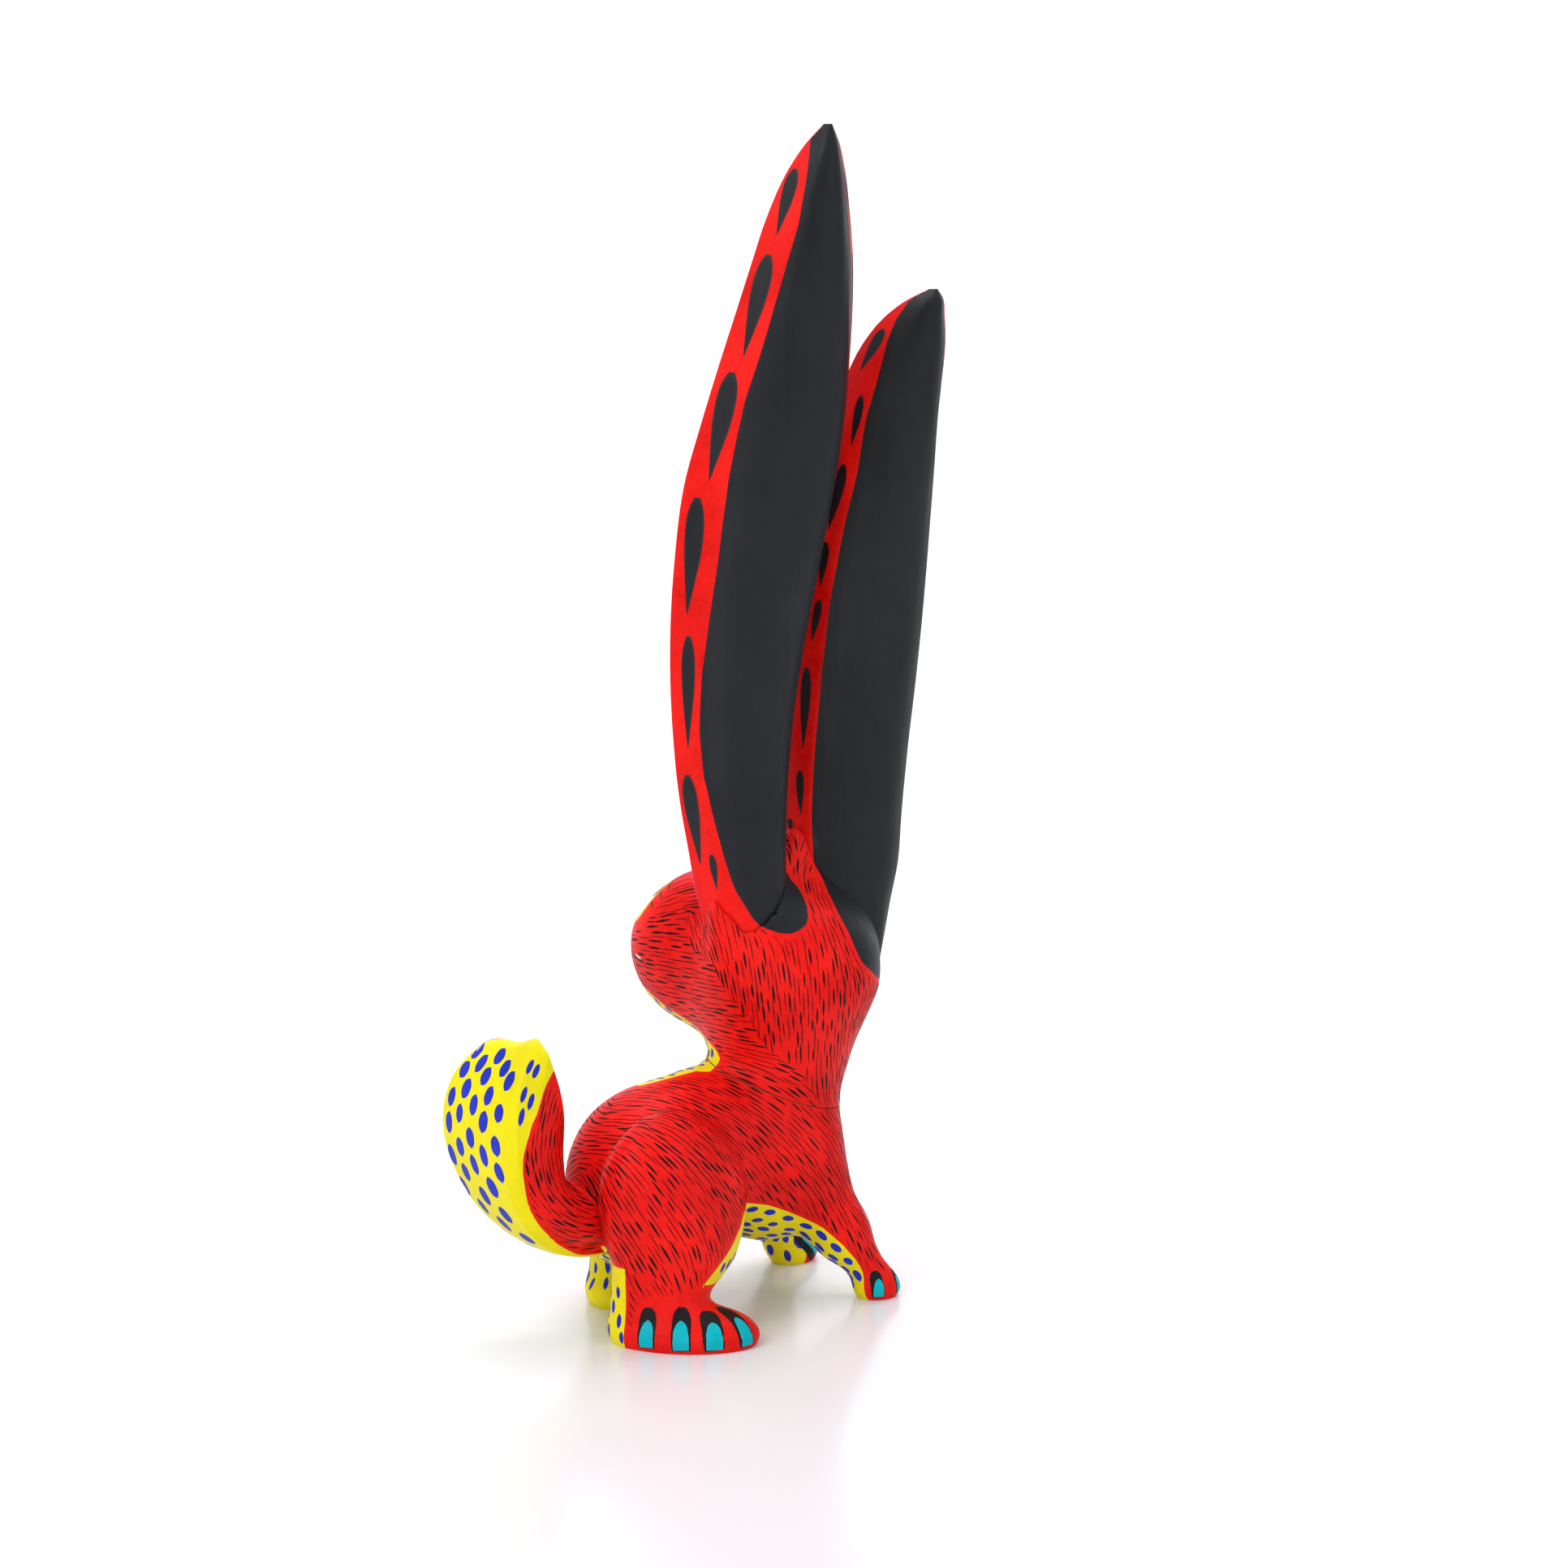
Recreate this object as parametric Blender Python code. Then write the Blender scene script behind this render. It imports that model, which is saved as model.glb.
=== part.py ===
# Carved rabbit with tall ears, built the way a carver pegs one together:
# a body block with four legs, a separate head on two neck dowels, a tail on
# one dowel, and two ears whose own pegs push into sockets in the head.
# Frame: +X the way the body faces, +Y the rabbit's left, +Z up, origin under
# the middle of the figure on the ground.  Dimensions are typed in millimetres.
import bpy
import bmesh
import math
import numpy as np
from mathutils import Matrix, Vector

for old in list(bpy.data.objects):
    bpy.data.objects.remove(old, do_unlink=True)

# ------------------------------------------------------------ driving sizes
MM = 0.001
ORIGIN_SHIFT = (12.245, -2.392)     # moves the carving onto its own bounding box centre
GAP = 0.3                      # clear space kept between neighbouring pieces
GRAIN = 4.3                    # mesh size of the rounded blocks

NECK_DOWEL_R, NECK_DOWEL_L = 4.0, 40.0
TAIL_DOWEL_R, TAIL_DOWEL_L = 3.5, 30.0
EAR_DOWEL_R, EAR_DOWEL_L = 5.0, 44.0
EAR_PUSH = 22.0                # how deep an ear peg sits in the head

ACROSS = np.array([0.8, -0.6, 0.0])    # line along which the two ears fan out
DEPTH = np.array([0.6, 0.8, 0.0])      # level line square to it
UP = np.array([0.0, 0.0, 1.0])
FACE = np.array([-0.28, 0.96, 0.0])    # the head looks back over the left side
CHEEK = np.array([-0.96, -0.28, 0.0])  # the head's own left
HEAD = np.array([14.0, 8.0, 0.0])      # middle of the head in plan

SEAM_POINT = np.array([17.0, 0.0, 74.0])
SEAM_NORMAL = np.array([0.289, -0.219, 0.932])
NECK_SEAM_R = 22.5
TAIL_POINT = np.array([-62.0, 0.0, 38.5])
TAIL_NORMAL = np.array([-0.917, 0.0, -0.399])

# ear: seat point and seat normal, peg direction, depth of its centre line,
# and stations (height, place along ACROSS, half width, half thickness, how far
# out the ridge between back and rim sits)
EAR_TURN = math.radians(30.0)
LEFT_EAR = dict(
    seat=(2.6, -8.4, 144.5), tilt=(-0.286, -1.2), lean=-0.20, depth=-8.4,
    stations=((118, 9.6, 9.2, 8.5, 0.74), (132, 5.8, 13.6, 11.4, 0.76), (142, 4.2, 15.4, 12.2, 0.78),
              (158, 3.0, 17.2, 12.8, 0.78), (177, 1.8, 19.4, 13.2, 0.78), (199, 1.9, 21.8, 13.5, 0.77),
              (226, 3.8, 24.8, 13.8, 0.76), (256, 8.0, 27.8, 14.0, 0.74), (284, 12.8, 29.0, 13.6, 0.72),
              (301, 16.3, 27.6, 13.0, 0.70), (320, 19.8, 25.1, 12.2, 0.68), (338, 23.0, 22.3, 11.2, 0.65),
              (354, 25.4, 19.4, 10.0, 0.62), (370, 27.2, 15.6, 8.6, 0.58), (384, 29.2, 10.9, 6.6, 0.54),
              (393, 30.8, 6.2, 4.2, 0.50), (399, 31.8, 1.6, 1.3, 0.50)))
RIGHT_EAR = dict(
    seat=(39.0, 21.0, 131.0), tilt=(1.7, -0.8), lean=0.32, depth=22.4,
    stations=((92, 41.0, 5.0, 6.0, 0.76), (108, 41.0, 8.4, 9.0, 0.78), (121, 40.2, 12.2, 11.4, 0.78),
              (134, 38.0, 18.4, 12.6, 0.78), (148, 37.6, 22.8, 13.2, 0.78), (164, 37.8, 24.0, 13.6, 0.78),
              (187, 39.2, 25.2, 13.8, 0.77), (214, 42.4, 25.2, 13.8, 0.76), (238, 44.9, 25.2, 13.6, 0.75),
              (262, 47.9, 24.2, 13.0, 0.73), (282, 51.1, 22.2, 12.4, 0.71), (301, 53.8, 20.8, 11.4, 0.69),
              (316, 57.0, 19.0, 10.4, 0.66), (327, 60.0, 16.0, 9.0, 0.62), (335, 62.8, 11.8, 7.0, 0.58),
              (341, 66.0, 6.4, 4.2, 0.54), (344, 67.6, 1.6, 1.3, 0.50)))

# tail: stations (x, y, z, half width, half thickness, how wide the flat rear
# face is, how much fuller the side towards the back is) from inside the rump to the tip
TAIL = ((-48, 0, 40.0, 13.0, 11.5, 0.60, 1.0), (-58, 0, 39.5, 14.5, 12.0, 0.62, 1.0), (-68, 0, 40.5, 16.5, 12.0, 0.66, 1.0),
        (-78, 1, 44.5, 18.5, 11.6, 0.74, 1.04), (-85.2, 3, 52.0, 20.5, 11.2, 0.84, 1.16), (-88.6, 5, 62.0, 22.4, 11.8, 0.92, 1.32),
        (-90.0, 5.5, 72.5, 23.4, 12.2, 0.96, 1.42), (-89.6, 4, 82.0, 23.6, 12.0, 0.97, 1.40), (-88.2, 1, 90.5, 22.8, 10.8, 0.97, 1.40),
        (-86.8, -2.5, 97.3, 19.4, 8.6, 0.97, 1.80), (-85.6, -5, 102.2, 13.6, 6.0, 0.97, 2.3), (-85.2, -6, 104.6, 5.4, 2.4, 0.97, 3.2))


# ------------------------------------------------------------ rounded volumes
def unit(v):
    v = np.asarray(v, float)
    return v / np.linalg.norm(v)


def turned(angle):
    a = math.radians(angle)
    return np.array([[math.cos(a), math.sin(a), 0], [-math.sin(a), math.cos(a), 0], [0, 0, 1.0]])


def pitched(axes, angle):
    a = math.radians(angle)
    x, z = axes[0], axes[2]
    return np.array([math.cos(a) * x + math.sin(a) * z, axes[1], -math.sin(a) * x + math.cos(a) * z])


HEAD_AXES = np.array([FACE, CHEEK, UP])
EAR_AXES = np.array([math.cos(EAR_TURN) * ACROSS + math.sin(EAR_TURN) * DEPTH,
                     math.sin(EAR_TURN) * ACROSS - math.cos(EAR_TURN) * DEPTH, UP])


def in_plan(across, depth, z):
    return across * ACROSS + depth * DEPTH + z * UP


def ball(centre, radii, axes=None):
    return ("ball", np.array(centre, float), np.array(radii, float), np.eye(3) if axes is None else axes)


def limb(a, ra, b, rb):
    return ("limb", np.array(a, float), float(ra), np.array(b, float), float(rb))


def distance(solid, p):
    if solid[0] == "ball":
        _, c, r, axes = solid
        q = (p - c) @ axes.T
        k0 = np.linalg.norm(q / r, axis=1)
        k1 = np.linalg.norm(q / (r * r), axis=1)
        return k0 * (k0 - 1.0) / np.maximum(k1, 1e-9)
    _, a, ra, b, rb = solid
    ab = b - a
    t = np.clip((p - a) @ ab / (ab @ ab), 0.0, 1.0)
    return np.linalg.norm(p - a - t[:, None] * ab, axis=1) - (ra + (rb - ra) * t)


def blend(a, b, k):
    h = np.maximum(k - np.abs(a - b), 0.0) / k
    return np.minimum(a, b) - h * h * k * 0.25


TORSO = (ball((-39, 0, 47), (25, 26, 30)), ball((-9, 0, 56), (39, 25.5, 27.2)), ball((13.4, 0, 50), (24.3, 24.5, 31)))
TAIL_ROOT = ball((-57, 0, 39), (13, 13.5, 11))
NECK = (limb((17, 0, 60), 19.0, (18.7, -7.0, 112), 27.8),)
SKULL = (ball(HEAD - 14 * FACE + 117 * UP, (29, 28, 24), HEAD_AXES), ball(HEAD + 14 * FACE + 117.5 * UP, (34.5, 24, 28.5), HEAD_AXES))
BROW = (unit((0.72, 0.0, 0.70)), 123.0)     # the flat slope from the crown down to the nose
# bosses on the crown that carry the tilted ear seats
STUBS = (ball(in_plan(4.4, -9.4, 141), (14.2, 10.8, 29), EAR_AXES),
         ball(in_plan(37.6, 21.8, 138), (13.0, 10.8, 30), pitched(EAR_AXES, 14)),
         ball(in_plan(20.5, 7.5, 136), (8.0, 6.0, 27), EAR_AXES))
# the right hind leg is set back and splays out; the left one stands a little further forward
HIND_RIGHT = (ball((-40.5, -21, 45), (27.5, 16.5, 32), pitched(np.eye(3), 14)), limb((-41, -24, 30), 15.5, (-44.5, -26, 14), 10.0),
              ball((-42.0, -30.8, 3.2), (24.4, 14.8, 9.8), turned(-42)))
HEEL_RIGHT = limb((-55.5, -19.5, 19.0), 7.2, (-55.2, -19.0, 6.0), 8.0)
HIND_LEFT = (ball((-27, 20, 43), (26.5, 15.5, 30), pitched(np.eye(3), 10)), limb((-27, 22, 30), 14.5, (-30, 23, 14), 10.0),
             ball((-24, 25, 4.0), (23.5, 14.0, 10.0), turned(24)))
FORE_RIGHT = (limb((17, -13, 50), 15.0, (29.5, -21, 24), 9.2), limb((29.5, -21, 24), 9.2, (37, -25.5, 9), 6.6),
              ball((40.4, -26.5, 3.6), (10.5, 8.2, 6.4), turned(-8)))


def mirrored(solid):
    flip = np.array([1.0, -1.0, 1.0])
    if solid[0] == "ball":
        _, c, r, axes = solid
        return ("ball", c * flip, r, axes * flip)
    _, a, ra, b, rb = solid
    return ("limb", a * flip, ra, b * flip, rb)


FORE_LEFT = tuple(mirrored(solid) for solid in FORE_RIGHT[:2]) + (ball((42.6, 25.6, 3.8), (12.6, 8.6, 7.2), turned(4)),)


def block_field(p):
    d = distance(TORSO[0], p)
    d = blend(d, distance(TORSO[1], p), 14)
    d = blend(d, distance(TORSO[2], p), 14)
    d = blend(d, distance(TAIL_ROOT, p), 6)
    d = blend(d, distance(NECK[0], p), 9)
    slope = ((p - HEAD) @ HEAD_AXES.T) @ BROW[0] - BROW[1]
    face = -blend(-distance(SKULL[1], p), -slope, 7)
    head = blend(distance(SKULL[0], p), face, 12)
    for stub in STUBS:
        head = blend(head, distance(stub, p), 10)
    d = blend(d, head, 14)
    for haunch, shank, foot in (HIND_RIGHT, HIND_LEFT):
        hind = blend(distance(haunch, p), distance(shank, p), 12)
        hind = blend(hind, distance(foot, p), 7)
        if foot is HIND_RIGHT[2]:
            hind = blend(hind, distance(HEEL_RIGHT, p), 6)
        d = blend(d, hind, 3.5)
    for solids in (FORE_RIGHT, FORE_LEFT):
        fore = blend(distance(solids[0], p), distance(solids[1], p), 6)
        d = blend(d, blend(fore, distance(solids[2], p), 5), 9)
    return d


def settle(points, field, rounds=5):
    e = 0.05
    for _ in range(rounds):
        d = field(points)
        g = np.stack([field(points + e * np.eye(3)[i]) - field(points - e * np.eye(3)[i]) for i in range(3)], axis=1) / (2 * e)
        points = points - np.clip(d / np.maximum((g * g).sum(1), 0.05), -3, 3)[:, None] * g
    return points


# ------------------------------------------------------------ mesh helpers
def make(name, verts, faces):
    mesh = bpy.data.meshes.new(name)
    mesh.from_pydata([Vector(v) * MM for v in verts], [], faces)
    mesh.validate()
    obj = bpy.data.objects.new(name, mesh)
    bpy.context.scene.collection.objects.link(obj)
    bm = bmesh.new()
    bm.from_mesh(mesh)
    bmesh.ops.recalc_face_normals(bm, faces=bm.faces)
    bm.to_mesh(mesh)
    bm.free()
    return obj


def loft(name, rings):
    n = len(rings[0])
    verts = [tuple(p) for ring in rings for p in ring]
    faces = []
    for i in range(len(rings) - 1):
        for j in range(n):
            k = (j + 1) % n
            faces.append((i * n + j, i * n + k, (i + 1) * n + k, (i + 1) * n + j))
    faces.append(tuple(range(n))[::-1])
    faces.append(tuple((len(rings) - 1) * n + j for j in range(n)))
    return make(name, verts, faces)


def applied(obj):
    bpy.context.view_layer.update()
    graph = bpy.context.evaluated_depsgraph_get()
    mesh = bpy.data.meshes.new_from_object(obj.evaluated_get(graph))
    old = obj.data
    obj.modifiers.clear()
    obj.data = mesh
    mesh.name = obj.name
    bpy.data.meshes.remove(old)
    return obj


def cut(obj, tool, operation="DIFFERENCE"):
    mod = obj.modifiers.new("cut", "BOOLEAN")
    mod.operation = operation
    mod.solver = "EXACT"
    mod.object = tool
    applied(obj)
    return obj


def drop(obj):
    bpy.data.objects.remove(obj, do_unlink=True)


def half_space(name, point, normal, size=400.0, side=1.0):
    """A box with one face on the plane, filling the side the normal points to."""
    n = unit(normal) * side
    a = unit(np.cross(n, UP if abs(n[2]) < 0.9 else ACROSS))
    b = np.cross(n, a)
    corners = [np.array(point) + s * size * a + t * size * b + h * size * n
               for h in (0, 1) for s, t in ((-1, -1), (1, -1), (1, 1), (-1, 1))]
    return make(name, corners, [(0, 1, 2, 3), (4, 7, 6, 5), (0, 4, 5, 1), (1, 5, 6, 2), (2, 6, 7, 3), (3, 7, 4, 0)])


def cylinder(name, a, b, radius, sides=20, chamfer=0.0):
    a, b = np.array(a, float), np.array(b, float)
    n = unit(b - a)
    u = unit(np.cross(n, UP if abs(n[2]) < 0.9 else ACROSS))
    v = np.cross(n, u)
    length = np.linalg.norm(b - a)
    profile = [(0.0, radius), (length, radius)]
    if chamfer:
        profile = [(0.0, radius - chamfer), (chamfer, radius), (length - chamfer, radius), (length, radius - chamfer)]
    rings = [[a + n * h + r * (math.cos(t) * u + math.sin(t) * v)
              for t in (2 * math.pi * i / sides for i in range(sides))] for h, r in profile]
    return loft(name, rings)


def seed_of(solid, grow):
    """A plain closed shape standing in for one rounded volume before the blocks are merged."""
    bm = bmesh.new()
    if solid[0] == "ball":
        _, c, r, axes = solid
        bmesh.ops.create_icosphere(bm, subdivisions=3, radius=1.0)
        for v in bm.verts:
            v.co = Vector(((np.array(v.co) * (r + grow)) @ axes + c) * MM)
    else:
        _, a, ra, b, rb = solid
        for c, r in ((a, ra), (b, rb)):
            made = bmesh.ops.create_icosphere(bm, subdivisions=2, radius=1.0)["verts"]
            for v in made:
                v.co = Vector((np.array(v.co) * (r + grow) + c) * MM)
        hull = bmesh.ops.convex_hull(bm, input=bm.verts)
        bmesh.ops.delete(bm, geom=[g for g in hull["geom_interior"] if isinstance(g, bmesh.types.BMVert)], context="VERTS")
    return bm


def carved_block(name, solids, field, grain):
    merged = bpy.data.meshes.new(name)
    whole = bmesh.new()
    for solid in solids:
        piece = seed_of(solid, 0.6)
        part = bpy.data.meshes.new("seed")
        piece.to_mesh(part)
        piece.free()
        whole.from_mesh(part)
        bpy.data.meshes.remove(part)
    bmesh.ops.recalc_face_normals(whole, faces=whole.faces)
    whole.to_mesh(merged)
    whole.free()
    obj = bpy.data.objects.new(name, merged)
    bpy.context.scene.collection.objects.link(obj)
    mod = obj.modifiers.new("merge", "REMESH")
    mod.mode = "VOXEL"
    mod.voxel_size = grain * MM
    applied(obj)
    mesh = obj.data
    co = np.empty(len(mesh.vertices) * 3)
    for _ in range(3):
        mesh.vertices.foreach_get("co", co)
        p = settle(co.reshape(-1, 3) / MM, field)
        mesh.vertices.foreach_set("co", (p * MM).ravel())
        mesh.update()
        smooth = obj.modifiers.new("relax", "SMOOTH")
        smooth.factor = 0.5
        smooth.iterations = 3
        applied(obj)
        mesh = obj.data
        co = np.empty(len(mesh.vertices) * 3)
    mesh.vertices.foreach_get("co", co)
    p = settle(co.reshape(-1, 3) / MM, field, 6)
    mesh.vertices.foreach_set("co", (p * MM).ravel())
    mesh.update()
    return obj


# ------------------------------------------------------------ ears and tail
def ear_rings(ear, margin=0.0):
    rings = []
    for z, across, half, thick, ridge in ear["stations"]:
        a, t = half + margin, thick + margin
        outline = ((-1.0, -0.42), (-0.93, -0.62), (-0.5, -0.74), (0.0, -0.78), (0.5, -0.74), (0.93, -0.62), (1.0, -0.42),
                   (ridge, 0.52), (ridge * 0.72, 0.80), (ridge * 0.38, 0.95), (0.0, 1.0), (-ridge * 0.38, 0.95), (-ridge * 0.72, 0.80), (-ridge, 0.52))
        middle = in_plan(across, ear["depth"], z)
        rings.append([middle + s * a * EAR_AXES[0] + h * t * EAR_AXES[1] for s, h in outline])
    if margin:
        rings[0] = [p - margin * UP for p in rings[0]]
        rings[-1] = [p + margin * UP for p in rings[-1]]
    return rings


def tail_rings(margin=0.0):
    rings = []
    path = np.array([(x, y, z) for x, y, z, *_ in TAIL])
    for i, (x, y, z, half, thick, face, full) in enumerate(TAIL):
        ahead = unit(path[min(i + 1, len(path) - 1)] - path[max(i - 1, 0)])
        side = np.array([0.0, 1.0, 0.0])
        back = unit(np.cross(side, ahead))          # towards the rabbit's back
        a, t = half + margin, thick + margin
        outline = ((-face, -0.66), (-face * 0.80, -0.98), (-face * 0.3, -1.06), (face * 0.3, -1.06), (face * 0.80, -0.98), (face, -0.66),
                   (1.0, -0.2), (0.93, 0.40), (0.68, 0.78), (0.24, 0.98), (-0.24, 0.98), (-0.68, 0.78), (-0.93, 0.40), (-1.0, -0.2))
        rings.append([path[i] + s * a * side + h * t * (full if h > 0 else 1.0) * back for s, h in outline])
    return rings


def seat_of(ear):
    across, depth, z = ear["seat"]
    point = in_plan(across, depth, z)
    a, b = ear["tilt"]
    normal = unit(a * ACROSS + b * DEPTH + UP)
    lift = unit(ear["lean"] * ACROSS + UP)
    return point, normal, lift


# ------------------------------------------------------------ the blocks
solids = TORSO + NECK + SKULL + STUBS + (TAIL_ROOT, HEEL_RIGHT) + HIND_RIGHT + HIND_LEFT + FORE_RIGHT + FORE_LEFT
block = carved_block("body_block", solids, block_field, GRAIN)

ground = half_space("ground", (0, 0, 0), UP, side=-1.0)
cut(block, ground)
drop(ground)

# the head is everything above the neck seam inside a flaring cutter
n = unit(SEAM_NORMAL)
u = unit(np.cross(n, np.array([0.0, 1.0, 0.0])))
v = np.cross(n, u)


def flare(name, shift, wider):
    spec = ((0.0, NECK_SEAM_R), (1.4, NECK_SEAM_R + 1.5), (2.6, 34.0), (4.2, 110.0), (110.0, 112.0))
    return loft(name, [[SEAM_POINT + n * (h + shift) + (r + wider) * (math.cos(t) * u + math.sin(t) * v)
                        for t in (2 * math.pi * i / 32 for i in range(32))] for h, r in spec])


head = bpy.data.objects.new("head_block", block.data.copy())
bpy.context.scene.collection.objects.link(head)
upper = flare("upper", GAP / 2, 0.0)
cut(head, upper, "INTERSECT")
drop(upper)
upper = flare("upper", -GAP / 2, 0.35)
cut(block, upper)
drop(upper)

# ears stand on flat tilted seats
ears = {}
for name, ear in (("left_ear", LEFT_EAR), ("right_ear", RIGHT_EAR)):
    point, normal, lift = seat_of(ear)
    solid = loft(name, ear_rings(ear))
    below = half_space("below", point, normal, side=-1.0)
    cut(solid, below)
    drop(below)
    housing = loft("housing", ear_rings(ear, 1.2))
    below = half_space("below", point - normal * GAP, normal, side=-1.0)
    cut(housing, below)
    drop(below)
    for rise in (0.0, 3.0, 3.0, 3.0, 3.0, 4.0):     # the ear's whole way out stays clear
        housing.data.transform(Matrix.Translation(Vector(lift * rise * MM)))
        cut(head, housing)
    drop(housing)
    centre = point
    lower, higher = centre - lift * EAR_PUSH, centre + lift * (EAR_DOWEL_L - EAR_PUSH)
    peg = cylinder(name + "_dowel", lower, higher, EAR_DOWEL_R, 24, 0.8)
    socket = cylinder("socket", lower - lift * 0.6, higher + lift * 0.6, EAR_DOWEL_R + GAP, 24)
    cut(head, socket)
    cut(solid, socket)
    drop(socket)
    ears[name] = (solid, peg)

# tail against the rump
tail = loft("tail", tail_rings())
inside = half_space("inside", TAIL_POINT, TAIL_NORMAL, side=-1.0)
cut(tail, inside)
drop(inside)
housing = loft("housing", tail_rings(0.4))
inside = half_space("inside", TAIL_POINT - unit(TAIL_NORMAL) * GAP, TAIL_NORMAL, side=-1.0)
cut(housing, inside)
drop(inside)
cut(block, housing)
drop(housing)
axis = unit((-0.985, 0.0, 0.17))
middle = TAIL_POINT + np.array([0.0, 0.0, 1.5])
a, b = middle - axis * TAIL_DOWEL_L * 0.5, middle + axis * TAIL_DOWEL_L * 0.5
tail_dowel = cylinder("tail_dowel", a, b, TAIL_DOWEL_R, 20, 0.6)
socket = cylinder("socket", a - axis * 0.6, b + axis * 0.6, TAIL_DOWEL_R + GAP, 20)
cut(block, socket)
cut(tail, socket)
drop(socket)

# two dowels across the neck seam
neck_dowels = []
for name, offset in (("neck_dowel_front", 8.5), ("neck_dowel_rear", -8.5)):
    middle = SEAM_POINT + u * 0.0 + offset * unit(np.cross(n, np.array([0.0, 1.0, 0.0]))) * -1.0
    a, b = middle - n * NECK_DOWEL_L * 0.5, middle + n * NECK_DOWEL_L * 0.5
    neck_dowels.append(cylinder(name, a, b, NECK_DOWEL_R, 20, 0.7))
    socket = cylinder("socket", a - n * 0.6, b + n * 0.6, NECK_DOWEL_R + GAP, 20)
    cut(block, socket)
    cut(head, socket)
    drop(socket)


# ------------------------------------------------------------ finish
def paint(obj, name, colour, roughness):
    material = bpy.data.materials.new(name)
    material.use_nodes = True
    shader = material.node_tree.nodes["Principled BSDF"]
    shader.inputs["Base Color"].default_value = (*colour, 1.0)
    shader.inputs["Roughness"].default_value = roughness
    material.diffuse_color = (*colour, 1.0)
    obj.data.materials.clear()
    obj.data.materials.append(material)


RED, BLACK, WOOD = (0.72, 0.015, 0.012), (0.025, 0.024, 0.026), (0.62, 0.47, 0.30)
paint(block, "body_red", RED, 0.55)
paint(head, "head_red", RED, 0.55)
paint(tail, "tail_red", RED, 0.55)
paint(ears["left_ear"][0], "left_ear_black", BLACK, 0.7)
paint(ears["right_ear"][0], "right_ear_black", BLACK, 0.7)
for peg in (ears["left_ear"][1], ears["right_ear"][1], tail_dowel, *neck_dowels):
    paint(peg, peg.name + "_wood", WOOD, 0.75)

for obj in list(bpy.data.objects):
    for vert in obj.data.vertices:
        vert.co.x += ORIGIN_SHIFT[0] * MM
        vert.co.y += ORIGIN_SHIFT[1] * MM
    obj.data.shade_smooth()
    obj.data.set_sharp_from_angle(angle=math.radians(34))

# each ear piece's origin sits on its own peg line, at the seat
for name, ear in (("left_ear", LEFT_EAR), ("right_ear", RIGHT_EAR)):
    point, normal, lift = seat_of(ear)
    pivot = Vector((point + np.array([*ORIGIN_SHIFT, 0.0])) * MM)
    for obj in ears[name]:
        obj.data.transform(Matrix.Translation(-pivot))
        obj.location = pivot
bpy.context.view_layer.update()
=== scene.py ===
# Painted carved rabbit with tall pegged ears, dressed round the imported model.
# Every length below is typed in millimetres in the carving's own frame and is
# moved by ORIGIN_SHIFT and scaled to metres as each piece is made.
import math
import bpy
import bmesh
import numpy as np
from mathutils import Matrix, Vector
from mathutils.bvhtree import BVHTree


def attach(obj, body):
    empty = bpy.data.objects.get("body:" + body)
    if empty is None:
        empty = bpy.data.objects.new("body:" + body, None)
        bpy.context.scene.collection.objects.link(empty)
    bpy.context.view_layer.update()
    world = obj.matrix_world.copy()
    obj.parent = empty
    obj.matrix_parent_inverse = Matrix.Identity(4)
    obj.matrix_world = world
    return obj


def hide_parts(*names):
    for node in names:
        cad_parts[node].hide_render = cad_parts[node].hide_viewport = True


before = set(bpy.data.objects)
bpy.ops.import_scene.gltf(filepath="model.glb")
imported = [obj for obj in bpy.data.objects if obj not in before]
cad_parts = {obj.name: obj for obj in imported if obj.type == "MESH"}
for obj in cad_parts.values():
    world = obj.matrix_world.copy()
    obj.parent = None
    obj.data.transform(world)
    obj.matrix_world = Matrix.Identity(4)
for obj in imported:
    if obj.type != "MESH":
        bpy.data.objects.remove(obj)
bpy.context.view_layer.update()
rng = np.random.default_rng(20)

# ------------------------------------------------------------ driving sizes
MM = 0.001
ORIGIN_SHIFT = (12.245, -2.392)     # moves the carving onto its own bounding box centre
GAP = 0.3                      # clear space kept between neighbouring pieces
GRAIN = 1.7      # mesh size of the rounded blocks

NECK_DOWEL_R, NECK_DOWEL_L = 4.0, 40.0
TAIL_DOWEL_R, TAIL_DOWEL_L = 3.5, 30.0
EAR_DOWEL_R, EAR_DOWEL_L = 5.0, 44.0
EAR_PUSH = 22.0                # how deep an ear peg sits in the head

ACROSS = np.array([0.8, -0.6, 0.0])    # line along which the two ears fan out
DEPTH = np.array([0.6, 0.8, 0.0])      # level line square to it
UP = np.array([0.0, 0.0, 1.0])
FACE = np.array([-0.28, 0.96, 0.0])    # the head looks back over the left side
CHEEK = np.array([-0.96, -0.28, 0.0])  # the head's own left
HEAD = np.array([14.0, 8.0, 0.0])      # middle of the head in plan

SEAM_POINT = np.array([17.0, 0.0, 74.0])
SEAM_NORMAL = np.array([0.289, -0.219, 0.932])
NECK_SEAM_R = 22.5
TAIL_POINT = np.array([-62.0, 0.0, 38.5])
TAIL_NORMAL = np.array([-0.917, 0.0, -0.399])

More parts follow.
